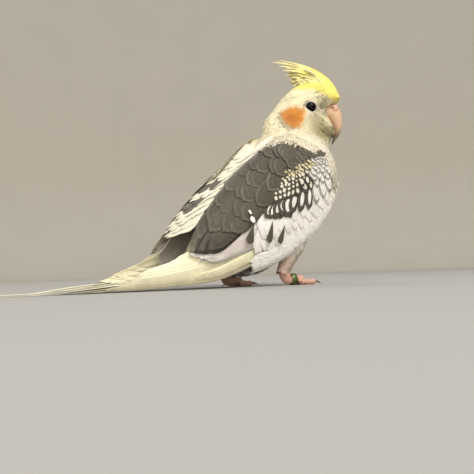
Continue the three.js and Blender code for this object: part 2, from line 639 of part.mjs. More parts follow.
function tarsus(leg, lift = 0) {
  const curve = tarsusLine(leg);
  const last = TARSUS_RADII.length - 1;
  const places = TARSUS_RADII.map((_, i) => curve.getPoint(i / last));
  places[last].addScaledVector(places[last].clone().sub(places[last - 1]).normalize(), lift);
  return solid(tube(places, TARSUS_RADII.map((radius) => radius + lift), 12));
}

// Places along a toe from the foot to the claw's point: share of the toe, share of the claw,
// height and radius over the toe's radius.
const TOE_ROWS = [
  [0, 0, 1.3, 1.1],
  [0.35, 0, 0.95, 1],
  [0.65, 0, 0.9, 0.85],
  [0.88, 0, 0.92, 0.95],
  [1, 0, 0.85, 0.6],
  [1, 0.45, 0.75, 0.38],
  [1, 1, 0.25, 0.12],
];
function toe(leg, side, { turn, length, radius, claw }) {
  const a = radians(side === RIGHT ? -turn : turn);
  const dir = vector(Math.cos(a), Math.sin(a), 0);
  const places = TOE_ROWS.map(([share, out, high]) =>
    point(leg.foot).addScaledVector(dir, length * share + claw * out).setZ(radius * high));
  return solid(tube(places, TOE_ROWS.map((row) => radius * row[3]), 6));
}

function foot(leg, side) {
  const pad = solid(new THREE.SphereGeometry(3, 8, 6).scale(1, 0.95, 0.62).translate(leg.foot[0], leg.foot[1], 1.75));
  return join([pad, ...TOES.map((t) => toe(leg, side, t))]).subtract(floorRoom()).subtract(tarsus(leg, GAP));
}

const BAND = { at: 0.62, inner: 2.9, outer: 3.45, long: 3.6 };
function legBand(leg) {
  const end = BAND.long / 2;
  const edge = [[BAND.inner, -end], [BAND.outer, -end], [BAND.outer, end], [BAND.inner, end], [BAND.inner, -end]];
  const profile = edge.map(([r, y]) => new THREE.Vector2(r, y));
  const ring = new THREE.LatheGeometry(profile, 18);
  const line = tarsusLine(leg);
  ring.applyQuaternion(new THREE.Quaternion().setFromUnitVectors(vector(0, 1, 0), line.getTangent(BAND.at)));
  const p = line.getPoint(BAND.at);
  return solid(ring.translate(p.x, p.y, p.z));
}

const roomSurface = sweptBody(BODY_ROWS, 0, BODY_END, BODY_STEPS, BODY_SIDES, GAP);
const bodyRoom = join([solid(roomSurface), solid(roomSurface.clone().translate(0, 0, GAP))]);
const sides = [["left", LEFT], ["right", RIGHT]];
let head = join([skull, eyeRing(-1), eyeRing(1)]);
head = head.subtract(eyeBall(-1, GAP)).subtract(eyeBall(1, GAP));
const billRoom = join([upperBill(GAP), lowerBill(GAP + 0.2), cere(GAP)]);
head = head.subtract(billRoom);
const legRoom = join(sides.map(([name]) => shin(LEGS[name], GAP)));
const rumpRoom = tailCore(GAP);
add("torso", "cream", bellyAndBack.subtract(legRoom).subtract(rumpRoom));
add("neck", "cream", neck.subtract(billRoom));
add("head", "cream", head);
add("crest", "yellow", crest());
add("upper_bill", "horn", upperBill(0));
add("lower_bill", "horn", lowerBill(0).subtract(upperBill(GAP)));
add("cere", "skin", cere(0).subtract(upperBill(GAP)).subtract(nostrils()));
add("eye_right", "eye", eyeBall(1, 0));
add("eye_left", "eye", eyeBall(-1, 0));
for (const [name, side] of sides)
  add(`wing_${name}`, "grey", wing(side).subtract(bodyRoom).subtract(legRoom).subtract(rumpRoom));
add("tail", "cream", tail());
for (const [name, side] of sides) {
  const leg = LEGS[name];
  add(`shin_${name}`, "cream", shin(leg));
  add(`tarsus_${name}`, "skin", tarsus(leg).subtract(shin(leg, GAP)));
  add(`foot_${name}`, "skin", foot(leg, side));
}
add("leg_band", "band", legBand(LEGS.right));

// The origin is the middle of the box that the bird fills, on the floor.
const box = new THREE.Box3().setFromObject(bird);
const middle = box.getCenter(vector(0, 0, 0));
for (const mesh of bird.children) mesh.position.set(-middle.x, -middle.y, -box.min.z);

export default bird;
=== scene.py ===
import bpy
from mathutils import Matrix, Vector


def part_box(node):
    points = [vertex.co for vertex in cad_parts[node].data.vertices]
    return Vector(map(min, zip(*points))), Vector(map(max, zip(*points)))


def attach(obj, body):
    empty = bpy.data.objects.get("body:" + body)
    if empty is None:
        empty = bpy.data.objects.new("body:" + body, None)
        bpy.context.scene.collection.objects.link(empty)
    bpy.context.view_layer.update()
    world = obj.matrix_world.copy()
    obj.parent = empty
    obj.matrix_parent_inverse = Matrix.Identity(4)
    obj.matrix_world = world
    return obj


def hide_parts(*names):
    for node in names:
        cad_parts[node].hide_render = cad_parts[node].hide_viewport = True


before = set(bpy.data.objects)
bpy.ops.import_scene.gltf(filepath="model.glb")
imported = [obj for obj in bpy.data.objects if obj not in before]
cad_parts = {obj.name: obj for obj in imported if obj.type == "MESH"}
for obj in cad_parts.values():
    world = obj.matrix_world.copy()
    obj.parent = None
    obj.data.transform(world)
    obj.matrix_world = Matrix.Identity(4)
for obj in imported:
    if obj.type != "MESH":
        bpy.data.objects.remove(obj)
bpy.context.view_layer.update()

import math
from collections import namedtuple
from types import SimpleNamespace

import bpy
import numpy as np
from bpy.props import FloatProperty, FloatVectorProperty, IntProperty, PointerProperty
from bpy.types import Operator, Panel, PropertyGroup
from mathutils import Matrix, Vector

bl_info = {
    "name": "Pied Cockatiel",
    "version": (1, 0, 0),
    "blender": (4, 5, 0),
    "location": "View3D > Sidebar > Cockatiel",
    "description": "Feathers, skin, bill, eyes and feet of a life-size cockatiel round its solids",
    "category": "Object",
}

MM = 0.001
BODY = "root"
RIGHT = -1
LEFT = 1
SIDES = (("left", LEFT), ("right", RIGHT))
TUFT_POINTS = 10
PAINTS = ("Ground", "Mark", "Marks", "Spot")  # colour layers of the vanes
CERE_VOXEL = 0.3
LEG_VOXEL = 0.35
GROUND = 0.02
SEEDS = {"head": 20, "body": 31, "wing": 40, "tail": 50, "crest": 60}
TUFTS = {"bill": 1900, "shoulder": 2600, "flank": 5000, "neck_base": 3000, "vent": 2600}
CREST_MIDDLE, CREST_SIDES, CREST_ROWS, CREST_COLUMNS = 190, 230, 15, 5

# Rows of the body's sweep in millimetres, as x, y, z, lean, turn, front, back, side, pinch of the front.
BODY_ROWS = np.array([
    [-62, 0, 11, 26, 0, 3, 3.5, 5, 0],
    [-55, 0, 14.5, 28, 0, 8, 8, 10, 0],
    [-44, 0, 21, 34, 0, 15, 15, 15, 0],
    [-30, 0, 30, 40, 0, 26, 21.5, 19.5, 0],
    [-14, 0, 43, 44, 0, 30, 25, 22, 0],
    [2, 0, 57, 48, 0, 28, 26, 23, 0],
    [15, 0, 73, 54, 0, 25, 24.5, 23, 0],
    [22.5, 0, 87, 64, 0, 22, 23.5, 21.5, 0],
    [26, -0.5, 97, 75, -9, 22, 24, 19.8, 0.1],
    [28, -0.8, 103, 82, -18, 23.5, 23.8, 18, 0.3],
    [30, -1.1, 108.5, 87, -28, 17, 22.6, 16.6, 0.5],
    [31.3, -1.4, 113, 90, -34, 15, 21, 15.4, 0.55],
    [32.3, -1.6, 116.2, 90, -36, 17.5, 19.6, 14.7, 0.4],
    [33, -1.8, 119, 90, -36, 21.5, 18.3, 14.2, 0.1],
    [33.5, -2, 122, 90, -36, 21.5, 16.2, 13.3, 0],
    [34.5, -2.5, 127, 90, -36, 18.3, 11.4, 10.8, 0],
    [35, -2.5, 130.6, 90, -36, 11.5, 6.5, 7, 0],
    [35, -2.5, 131.8, 90, -36, 4, 2.5, 2.5, 0],
])
BODY_END = len(BODY_ROWS) - 1

# Rows of the guide surface that the folded wings lie on.
MANTLE_ROWS = np.array([
    [-127, 0, 7.5, 3, 0, 12.5, 3, 12],
    [-104, 0, 9, 6, 0, 15, 5.5, 15.5],
    [-82, 0, 11.5, 14, 0, 18, 9.5, 20],
    [-62, 0, 17, 26, 0, 27, 15, 24],
    [-46, 0, 26, 34, 0, 37.5, 20, 26.5],
    [-30, 0, 35, 40, 0, 46, 24, 27],
    [-14, 0, 46, 44, 0, 51, 26, 27.5],
    [2, 0, 59, 48, 0, 53, 27, 27.5],
    [15, 0, 75, 54, 0, 50, 25, 27],
    [23, 0, 89, 62, 0, 38, 24, 25],
])
SWELL = {"angle": 142, "spread": 24, "row": 6.6, "reach": 3, "rise": 4.5}

HEAD = np.array([35.0, -2.0, 0.0])
HEAD_TURN = math.radians(-36)
AHEAD = np.array([math.cos(HEAD_TURN), math.sin(HEAD_TURN), 0])
TO_RIGHT = np.array([AHEAD[1], -AHEAD[0], 0])
UP = np.array([0.0, 0.0, 1.0])
LEFTWARD = np.array([0.0, 1.0, 0.0])
EYE = {"forward": -0.1, "z": 112.9, "out": 12.7, "radius": 4.3}
EYE_SUNK = 0.1
CERE = {"forward": 16.4, "right": 2.7, "z": 113.7, "radius": 3.2}
NOSTRIL = {"forward": 15.3, "right": 5.7, "z": 114.1, "radius": 0.8}

TAIL = {"x": -50, "z": 15.5, "slope": math.radians(26)}
TAIL_BEND = TAIL["z"] * TAIL["slope"] / (1 - math.cos(TAIL["slope"]))

# Bill rows: centre forward, centre height, lean of the line, half height, half width.
UPPER_BILL = np.array([
    [8, 112, 0, 4.4, 4.8],
    [12.5, 112, -8, 4.9, 5.3],
    [16.4, 110.8, -42, 5.3, 5.2],
    [17.9, 106.5, -74, 4.1, 4.6],
    [18.6, 102, -90, 2.8, 3.5],
    [17.9, 98, -108, 1.9, 2.3],
    [16, 94, -122, 1, 1.2],
    [14.6, 91.2, -124, 0.4, 0.45],
])
LOWER_BILL = np.array([
    [7.5, 100.8, 0, 3.4, 4.2],
    [11.5, 99.8, 0, 3.6, 4],
    [14.6, 99.4, 18, 2.8, 3.2],
    [16.8, 100.2, 38, 1.3, 1.7],
])

LEGS = {
    "right": {"hip": (10, -14.5, 31), "shin": (4.5, -16, 21), "hock": (-2.6, -16.6, 9.2),
              "heel": (-0.4, -17, 3.7), "foot": (10.5, -17.8, 3.5), "side": RIGHT},
    "left": {"hip": (-12, 13, 31), "shin": (-17.5, 14.5, 20), "hock": (-24.4, 15.4, 9.2),
             "heel": (-22.2, 15.8, 3.7), "foot": (-11.5, 16.4, 3.5), "side": LEFT},
}


def srgb(red, green, blue):
    """A linear colour from display values of 0 to 255."""
    def linear(value):
        value /= 255
        return value / 12.92 if value <= 0.04045 else ((value + 0.055) / 1.055) ** 2.4
    return (linear(red), linear(green), linear(blue))


def colour_property(name, description, value):
    return FloatVectorProperty(name=name, description=description, subtype="COLOR", size=3,
                               min=0, max=1, default=srgb(*value))


def length_property(name, description, millimetres):
    return FloatProperty(name=name, description=description, subtype="DISTANCE", unit="LENGTH",
                         min=0, default=millimetres * MM, precision=5)


class CockatielColours(PropertyGroup):
    """Colours of the plumage, skin and horn."""

    cream: colour_property("Body cream", "Back, breast and belly feathers", (234, 226, 204))
    face: colour_property("Face cream", "Head and neck feathers", (244, 233, 190))
    lemon: colour_property("Lemon", "Forehead, crown and crest", (246, 231, 118))
    # Olive is painted shade on the throat and lower face; on the crest streaks and covert spots it is the
    # feathers' own olive.
    olive_and_throat_shade: colour_property("Olive shade", "Lower cheek and throat", (150, 140, 96))
    cheek: colour_property("Cheek patch", "Round patch of each cheek", (212, 136, 40))
    smoke: colour_property("Smoke grey", "Mottling of the lores and brow", (128, 119, 98))
    shade: colour_property("Vent grey", "Thigh and vent feathers", (190, 184, 172))
    dark: colour_property("Dark grey", "Shoulders and scapulars", (81, 75, 64))
    middle: colour_property("Middle grey", "Paler edges of the dark feathers", (136, 129, 112))
    white: colour_property("White", "Spots and greater coverts", (243, 239, 231))
    primrose: colour_property("Primrose", "Primaries and outer tail feathers", (248, 241, 204))
    blush: colour_property("Blush grey", "Secondaries", (222, 211, 202))
    bill: colour_property("Bill", "Horn of the bill", (222, 182, 146))
    # Painted shade: this dark colour darkens the lower end of the upper bill and the top edge of the lower
    # bill, and darkens the nostrils to nearly black.
    bill_tip: colour_property("Bill tip", "Worn end of the upper bill", (108, 94, 82))
    cere: colour_property("Cere", "Bare skin over the nostrils", (222, 176, 152))
    foot: colour_property("Foot", "Bare scaled skin", (216, 168, 146))
    claw: colour_property("Claw", "Horn of the claws", (112, 98, 90))
    lid: colour_property("Lid", "Bare rim of the eye", (172, 164, 150))
    iris: colour_property("Eye", "Eyeball", (9, 7, 6))
    band: colour_property("Band", "Closed ring on the right leg", (92, 112, 62))
    floor: colour_property("Floor", "Pale studio floor", (162, 160, 156))
    wall: colour_property("Wall", "Backdrop", (226, 220, 208))


class CockatielSizes(PropertyGroup):
    """Sizes of the feathers and the skin."""

    coat_depth: length_property("Coat depth", "How far the skin lies inside the feathers", 1.3)
    face_tuft: length_property("Face feather", "Length of the smallest feathers", 2.6)
    head_tuft: length_property("Head feather", "Length of crown and cheek feathers", 4.6)
    neck_tuft: length_property("Neck feather", "Length of neck feathers", 7.5)
    body_tuft: length_property("Body feather", "Length of body feathers", 10.5)
    vane_thick: length_property("Vane thickness", "Thickness of wing and tail feathers", 0.24)
    crest_wide: length_property("Crest feather width", "Width of a crest feather", 1.5)
    head_count: IntProperty(name="Head feathers", description="Small feathers on the head", default=20000,
                            min=100)
    neck_count: IntProperty(name="Neck feathers", description="Feathers on the neck", default=8000, min=100)
    body_count: IntProperty(name="Body feathers", description="Feathers on the body", default=12000, min=100)
    leg_count: IntProperty(name="Leg feathers", description="Feathers on each shin", default=1500, min=10)


# Points and surfaces

def unit(vectors):
    """Vectors made one long."""
    return vectors / (np.linalg.norm(vectors, axis=-1, keepdims=True) + 1e-9)


def turns(count, shift=0.0):
    """Even angles round a circle."""
    return 2 * np.pi * (np.arange(count) + shift) / count


def head_point(forward, right, z):
    """Head positions in millimetres, for numbers or arrays."""
    forward, right, z = np.broadcast_arrays(forward, right, z)
    return HEAD + forward[..., None] * AHEAD + right[..., None] * TO_RIGHT + z[..., None] * UP


def head_parts(points):
    """Forward, right and height of points in the head's directions."""
    off = points - HEAD
    return off @ AHEAD, off @ TO_RIGHT, points[..., 2]


def frame_shift():
    """From the bird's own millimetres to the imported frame's, read from where an eye was packed."""
    low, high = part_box("eye_right")
    centre = (np.array(low) + np.array(high)) / 2 / MM
    return centre - head_point(EYE["forward"], EYE["out"], EYE["z"])


SHIFT = frame_shift()


def along(rows, u):
    """Smooth values of all the rows' fields at positions u, counted in rows."""
    last = len(rows) - 1
    i = np.clip(np.floor(u).astype(int), 0, last - 1)
    t = (u - i)[..., None]
    a, b = rows[np.clip(i - 1, 0, last)], rows[i]
    c, d = rows[i + 1], rows[np.clip(i + 2, 0, last)]
    return 0.5 * (2 * b + (c - a) * t + (2 * a - 5 * b + 4 * c - d) * t ** 2 + (3 * b - a - 3 * c + d)
                  * t ** 3)


def swept_point(rows, u, angle, lift):
    """Points of a swept surface at u along and angle round, raised by lift."""
    u, angle, lift = np.broadcast_arrays(np.asarray(u, float), angle, lift)
    f = along(rows, u)
    lean, turn, a = np.radians(f[..., 3]), np.radians(f[..., 4]), np.radians(angle)
    heading = np.stack([np.cos(turn), np.sin(turn), np.zeros_like(turn)], -1)
    front = heading * np.sin(lean)[..., None] - UP * np.cos(lean)[..., None]
    left = np.stack([-heading[..., 1], heading[..., 0], np.zeros_like(turn)], -1)
    reach = np.where(np.cos(a) > 0, f[..., 5], f[..., 6])
    out = (np.cos(a) * (reach + lift))[..., None] * front
    narrow = 1 - f[..., 8] * np.maximum(np.cos(a), 0) ** 2 if f.shape[-1] > 8 else 1
    return f[..., :3] + out + (np.sin(a) * (f[..., 7] * narrow + lift))[..., None] * left


def body_place(u, angle, lift):
    return swept_point(BODY_ROWS, u, angle, lift)


def wing_place(side):
    def place(u, angle, lift):
        off = ((u - SWELL["row"]) / SWELL["reach"]) ** 2 + ((angle - SWELL["angle"]) / SWELL["spread"]) ** 2
        points = swept_point(MANTLE_ROWS, u, angle, lift + SWELL["rise"] * np.exp(-off))
        return points * np.array([1, side, 1])
    return place


def flank_place(side):
    """From the belly's surface out to the wing's lower edge; its rows are the wing's."""
    wing = wing_place(side)

    def place(u, angle, lift):
        u, angle, lift = np.broadcast_arrays(np.asarray(u, float), angle, lift)
        share = np.clip((angle - 24) / 38, 0, 1) * (1 - smooth_step(8.0, 8.9, u))
        share = (share * share * (3 - 2 * share))[..., None]
        inner = body_place(u - 2, angle, lift) * np.array([1, side, 1])
        return inner + (wing(u, angle, lift) - inner) * share
    return place


def bridge_place(side):
    """From the neck and breast, at 0, to a wing's upper edge, at 1; angles are hundredths of the border."""
    wing = wing_place(side)

    def place(v, share, lift):
        v, share, lift = np.broadcast_arrays(np.asarray(v, float), share, lift)
        row, angle = (part[..., 0] for part in np.split(place_at(WING_BORDER, share / 100), 2, -1))
        inner = body_place(row - 1.15, angle, lift - 0.6) * np.array([1, side, 1])
        outer = wing(row - 0.9 * np.maximum(v - 1, 0), angle, lift + 2.2)
        t = np.clip(v, 0, 1)[..., None]
        return inner + (outer - inner) * t * (1.35 - 0.35 * t)
    return place


def tail_place(s, y, lift):
    """Points at s along the tail, y across and lift above its line."""
    s, y, lift = np.broadcast_arrays(np.asarray(s, float), y, lift)
    slope = TAIL["slope"] * np.maximum(1 - s / TAIL_BEND, 0)
    bent = np.minimum(s, TAIL_BEND)
    radius = TAIL_BEND / TAIL["slope"]
    x = TAIL["x"] - radius * (math.sin(TAIL["slope"]) - np.sin(slope)) - (s - bent)
    z = radius * (1 - np.cos(slope))
    return np.stack([x - np.sin(slope) * lift, y, z + np.cos(slope) * lift], -1)


def surface_frame(place, u, a, lift, outward=1):
    """Point, change for each unit of u and of a, and unit normal."""
    point = place(u, a, lift)
    per_u = (place(u + 0.05, a, lift) - point) * 20
    per_a = place(u, a + 1.0, lift) - point
    return point, per_u, per_a, unit(np.cross(per_a, per_u) * outward)


def chart_step(per_u, per_a, direction):
    """Steps of u and a that best follow a direction in space, for one millimetre of it."""
    pairs = ((per_u, per_u), (per_a, per_a), (per_u, per_a), (direction, per_u), (direction, per_a))
    uu, aa, ua, du, da = ((first * second).sum(-1) for first, second in pairs)
    det = uu * aa - ua * ua + 1e-9
    return (du * aa - da * ua) / det, (da * uu - du * ua) / det


# Meshes

def build_mesh(name, points, faces, uvs=None, colours=None):
    """A mesh from millimetre points and lists of face arrays, with maps and colours given for each point."""
    faces = [f for f in faces if len(f)]
    mesh = bpy.data.meshes.new(name)
    mesh.vertices.add(len(points))
    move_points(mesh, points)
    corners = np.concatenate([f.ravel() for f in faces]).astype(np.int32)
    sizes = np.concatenate([np.full(len(f), f.shape[1]) for f in faces])
    starts = np.concatenate([[0], np.cumsum(sizes)[:-1]]).astype(np.int32)
    mesh.loops.add(len(corners))
    mesh.loops.foreach_set("vertex_index", corners)
    mesh.polygons.add(len(sizes))
    mesh.polygons.foreach_set("loop_start", starts)
    for layer, values in (uvs or {}).items():
        made = mesh.uv_layers.new(name=layer)
        made.uv.foreach_set("vector", values[corners].astype(np.float32).ravel())
    for layer, values in (colours or {}).items():
        paint(mesh, layer, values)
    mesh.update(calc_edges=True)
    mesh.validate()
    mesh.polygons.foreach_set("use_smooth", np.ones(len(mesh.polygons), bool))
    return mesh


def move_points(mesh, points):
    """Sets a mesh's points from the bird's own millimetres."""
    mesh.vertices.foreach_set("co", ((points + SHIFT) * MM).astype(np.float32).ravel())


def paint(mesh, layer, values):
    """Gives a mesh a colour for each point."""
    made = mesh.color_attributes.new(name=layer, type="FLOAT_COLOR", domain="POINT")
    full = np.concatenate([values, np.ones((len(values), 1))], 1)
    made.data.foreach_set("color", full.astype(np.float32).ravel())


def set_normals(mesh, normals):
    """Shades a mesh by normals given for its points, so that small overlapping shapes read as one coat."""
    corners = np.empty(len(mesh.loops), np.int32)
    mesh.loops.foreach_get("vertex_index", corners)
    sizes = np.empty(len(mesh.polygons), np.int32)
    mesh.polygons.foreach_get("loop_total", sizes)
    flat = np.empty(len(sizes) * 3, np.float32)
    mesh.polygons.foreach_get("normal", flat)
    flat = np.repeat(flat.reshape(-1, 3), sizes, 0)
    given = unit(normals)[corners]
    given[(given * flat).sum(1) < -0.25] *= -1
    mesh.normals_split_custom_set(given.astype(np.float32).tolist())


def add_piece(name, mesh, material, slot_name, *nodes):
    """Links a piece, gives it its finish, hangs it on the body and hides the solids that it stands for."""
    piece = bpy.data.objects.new(name, mesh)
    bpy.context.scene.collection.objects.link(piece)
    mesh.materials.clear()
    mesh.materials.append(material)
    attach(piece, BODY)
    if nodes:
        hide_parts(*nodes)
    return piece


def ring_faces(rings, count, start=0):
    """Faces of a closed tube of rings, with a fan at each end round two pole points that come last."""
    i, j = np.meshgrid(np.arange(rings - 1), np.arange(count), indexing="ij")
    a = (i * count + j).ravel()
    b = (i * count + (j + 1) % count).ravel()
    sides = np.stack([a, b, b + count, a + count], 1) + start
    k = np.arange(count)
    low, high, top = rings * count, rings * count + 1, (rings - 1) * count
    first = np.stack([np.full(count, low), (k + 1) % count, k], 1) + start
    last = np.stack([np.full(count, high), top + k, top + (k + 1) % count], 1) + start
    return sides, np.concatenate([first, last])


def closed_grid(grid, poles=None):
    """Points and faces of a closed surface of rings; its poles are the end rings' middles unless given."""
    poles = grid[[0, -1]].mean(1) if poles is None else poles
    return np.concatenate([grid.reshape(-1, 3), poles]), *ring_faces(*grid.shape[:2])


def loop_faces(count, size):
    """Faces of a closed ring of count profiles, each of size points."""
    i, j = np.meshgrid(np.arange(count), np.arange(size), indexing="ij")
    at = lambda p, q: ((p % count) * size + q % size).ravel()
    return np.stack([at(i, j), at(i + 1, j), at(i + 1, j + 1), at(i, j + 1)], 1)


def tube(points, radii, count):
    """Points and faces of a closed tube along a line, with a radius at each point."""
    tangent = unit(np.gradient(points, axis=0))
    across = np.cross(UP, tangent)
    across[np.linalg.norm(across, axis=1) < 0.05] = LEFTWARD
    across = unit(across)
    a = turns(count, 0.5)[None, :, None]
    ring = np.cos(a) * across[:, None] + np.sin(a) * np.cross(tangent, across)[:, None]
    shape, sides, ends = closed_grid(points[:, None] + radii[:, None, None] * ring, points[[0, -1]])
    return shape, sides[:, ::-1], ends[:, ::-1]


def smooth_line(points, count):
    """A line through points, smoothly sampled."""
    return along(np.asarray(points, float), np.linspace(0, len(points) - 1, count))


def join_shapes(shapes):
    """One list of points and faces from several (points, faces, ...)."""
    points, faces, start = [], [], 0
    for shape in shapes:
        points.append(shape[0])
        faces.extend(f + start for f in shape[1:])
        start += len(shape[0])
    return np.concatenate(points), faces


def remeshed(name, points, faces, voxel, smoothing=4):
    """One closed skin round overlapping shapes, by voxels in millimetres, then smoothed."""
    rough = bpy.data.objects.new(name + "_rough", build_mesh(name + "_rough", points, faces))
    bpy.context.scene.collection.objects.link(rough)
    voxels = rough.modifiers.new("voxels", "REMESH")
    voxels.mode = "VOXEL"
    voxels.voxel_size = voxel * MM
    voxels.use_smooth_shade = True
    soft = rough.modifiers.new("soft", "SMOOTH")
    soft.factor = 0.5
    soft.iterations = smoothing
    graph = bpy.context.evaluated_depsgraph_get()
    mesh = bpy.data.meshes.new_from_object(rough.evaluated_get(graph))
    bpy.data.objects.remove(rough)
    mesh.name = name
    return mesh


def mesh_points(mesh):
    """A finished mesh's points in the bird's own millimetres."""
    values = np.empty(len(mesh.vertices) * 3, np.float32)
    mesh.vertices.foreach_get("co", values)
    return values.reshape(-1, 3).astype(float) / MM - SHIFT


# Feathers

TIP_SPREAD = 1.6
ROUND_END = [[0.7, 0.985], [0.8, 0.93], [0.87, 0.83], [0.93, 0.67], [0.97, 0.46], [0.99, 0.27], [1, 0.05]]
LONG_END = [[0.86, 0.96], [0.91, 0.87], [0.95, 0.7], [0.98, 0.45], [0.992, 0.28], [1, 0.05]]
LONG_SHAPE = np.array([[0, 0.4], [0.15, 0.75], [0.4, 1], [0.75, 1], *LONG_END])
SHORT_SHAPE = np.array([[0, 0.4], [0.25, 0.85], [0.5, 1], *ROUND_END])
ROUND_SHAPE = np.array([[0, 0.5], [0.3, 0.92], [0.55, 1], *ROUND_END])
WEDGE_SHAPE = np.array([[0, 0.06], [0.7, 0.85], [0.88, 1], [1, 0.6]])
CUT_SHAPE = np.array([[0, 0.5], [0.3, 0.9], [0.6, 1], [0.9, 0.98], [0.98, 0.95], [1, 0.9]])
LINE_SHAPE = np.array([[0, 1], [0.4, 1], [0.66, 0.95], [0.84, 0.74], [0.95, 0.45], [1, 0.1]])
FULL_SHAPE = np.array([[0, 0.6], [0.3, 1], [0.75, 1], [0.88, 0.86], [0.96, 0.6], [1, 0.12]])


def spaced(rows, spread):
    """Shares from 0 to 1, closer together towards a feather's tip when spread is over 1."""
    return 1 - (1 - np.linspace(0, 1, rows)) ** spread


def sheets(top, bottom, patch, spread=1.0):
    """Closed vanes from their upper and lower points, (feathers, rows, columns, 3)."""
    n, rows, columns = top.shape[:3]
    size = rows * columns
    r, c = np.meshgrid(np.arange(rows - 1), np.arange(columns - 1), indexing="ij")
    a = (r * columns + c).ravel()
    upper = np.stack([a, a + 1, a + columns + 1, a + columns], 1)
    lower = upper[:, ::-1] + size
    rim = np.concatenate([
        np.arange(columns - 1),
        columns - 1 + columns * np.arange(rows - 1),
        size - 1 - np.arange(columns - 1),
        (rows - 1) * columns - columns * np.arange(rows - 1),
    ])
    after = np.roll(rim, -1)
    edge = np.stack([rim, rim + size, after + size, after], 1)
    one = np.concatenate([upper, lower, edge])
    faces = (one[None] + (np.arange(n) * 2 * size)[:, None, None]).reshape(-1, 4)
    points = np.concatenate([top.reshape(n, size, 3), bottom.reshape(n, size, 3)], 1).reshape(-1, 3)
    t = spaced(rows, spread)[:, None] * np.ones(columns)
    x = np.ones((rows, 1)) * np.linspace(0, 1, columns)
    local = np.tile(np.stack([x, t], -1).reshape(-1, 2), (2 * n, 1))
    bake = local.reshape(n, 2, size, 2) * patch[:, None, None, 2:] + patch[:, None, None, :2]
    bake[:, 1, :, 0] += patch[:, None, 2] * 1.04
    return points, [faces], local, bake.reshape(-1, 2)


def cell_patches(count, start, total):
    """Map cells, one for each large feather, as corner and size; a cell has room for both its faces."""
    across = math.ceil(math.sqrt(total / 2))
    index = start + np.arange(count)
    width, height = 1 / (2.2 * across), 1 / math.ceil(total / across)
    left = (index % across) / across + 0.02 / across
    low = (index // across) * height + 0.04 * height
    ones = np.ones(count)
    return np.stack([left, low, ones * width, ones * height * 0.9], 1)


def lay_vanes(place, root, tip, wide, lift, tilt, shape, rows=12, columns=7, thick=0.34, camber=0.05,
              outward=1,
              rounding=0.05):
    """Upper and lower points of vanes laid along a surface from root to tip, (feathers, 2) each."""
    root, tip = np.asarray(root, float), np.asarray(tip, float)
    wide, lift = np.asarray(wide, float), np.asarray(lift, float)
    run = tip - root
    middle = (root + tip) / 2
    _, per_u, per_a, normal = surface_frame(place, middle[:, 0], middle[:, 1], 0.0, outward)
    heading = unit(per_u * run[:, :1] + per_a * run[:, 1:])
    across = np.cross(normal, heading) * outward
    step_u, step_a = chart_step(per_u, per_a, across)
    t = spaced(rows, TIP_SPREAD)[:, None]
    c = np.linspace(-1, 1, columns)[None]
    half = np.interp(t, shape[:, 0], shape[:, 1])
    share = t - rounding * c ** 2 * t ** 2
    reach = c * half * wide[:, None, None] / 2
    u = root[:, 0, None, None] + run[:, 0, None, None] * share + step_u[:, None, None] * reach
    a = root[:, 1, None, None] + run[:, 1, None, None] * share + step_a[:, None, None] * reach
    high = lift[:, 0, None, None] * (1 - t) + lift[:, 1, None, None] * t + tilt * reach
    high = high - camber * (c * half) ** 2 * wide[:, None, None]
    point, _, _, out = surface_frame(place, u, a, high, outward)
    rib = thick / 2 * (1 + 0.5 * np.exp(-(c / 0.16) ** 2)) * (1 - 0.55 * t)
    edge = rib * (1 - 0.5 * np.abs(c) ** 3)
    return point + out * edge[..., None], point - out * edge[..., None]


def lay_tufts(place, u, a, direction, long, wide, low, high, rng, outward=1):
    """Small three-sided feathers along a surface: rings of left, ridge and right points, then a tip."""
    _, per_u, per_a, normal = surface_frame(place, u, a, 0.0, outward)
    direction = unit(direction - (direction * normal).sum(1, keepdims=True) * normal)
    across = np.cross(normal, direction)
    swing = rng.normal(0, 0.14, len(u))[:, None]
    direction = direction * np.cos(swing) + across * np.sin(swing)
    across = np.cross(normal, direction)
    fwd_u, fwd_a = chart_step(per_u, per_a, direction)
    side_u, side_a = chart_step(per_u, per_a, across)
    rings = np.array([[0, 0.45], [0.42, 1], [0.8, 0.72]])
    bend = rng.normal(0, 0.06, len(u))
    out = []
    for t, w in rings:
        for c, ridge in ((-1, 0), (0, 0.13), (1, 0)):
            reach = c * w * wide / 2 + bend * long * t ** 2
            rise = low + (high - low) * t ** 0.75 + ridge * w * wide
            run = long * t
            out.append(place(u + fwd_u * run + side_u * reach, a + fwd_a * run + side_a * reach, rise))
    tip_reach = bend * long
    out.append(place(u + fwd_u * long + side_u * tip_reach, a + fwd_a * long + side_a * tip_reach,
                     high - 0.05 * wide))
    points = np.stack(out, 1)
    one = []
    for ring in range(2):
        base = ring * 3
        for k in range(3):
            n = (k + 1) % 3
            one += [[base + k, base + 3 + k, base + 3 + n], [base + k, base + 3 + n, base + n]]
    one += [[6, 9, 7], [7, 9, 8], [8, 9, 6], [0, 1, 2]]
    one = np.array(one)
    faces = (one[None] + (np.arange(len(u)) * TUFT_POINTS)[:, None, None]).reshape(-1, 3)
    x = np.array([0, 0.5, 1] * 3 + [0.5])
    t = np.array([0] * 3 + [0.42] * 3 + [0.8] * 3 + [1])
    local = np.tile(np.stack([x, t], 1), (len(u), 1))
    corner = np.stack([(u % 20) / (BODY_END + 0.5), (a % 360) / 361], 1)
    bake = np.clip(np.repeat(corner, TUFT_POINTS, 0) * 0.994 + local * 0.003, 0, 1)
    lean = np.array([-0.3, 0, 0.3] * 3 + [0])[None, :, None]
    normals = normal[:, None] + lean * across[:, None] + 0.12 * direction[:, None] * t[None, :, None]
    return points.reshape(-1, 3), [faces], local, bake, normals.reshape(-1, 3)


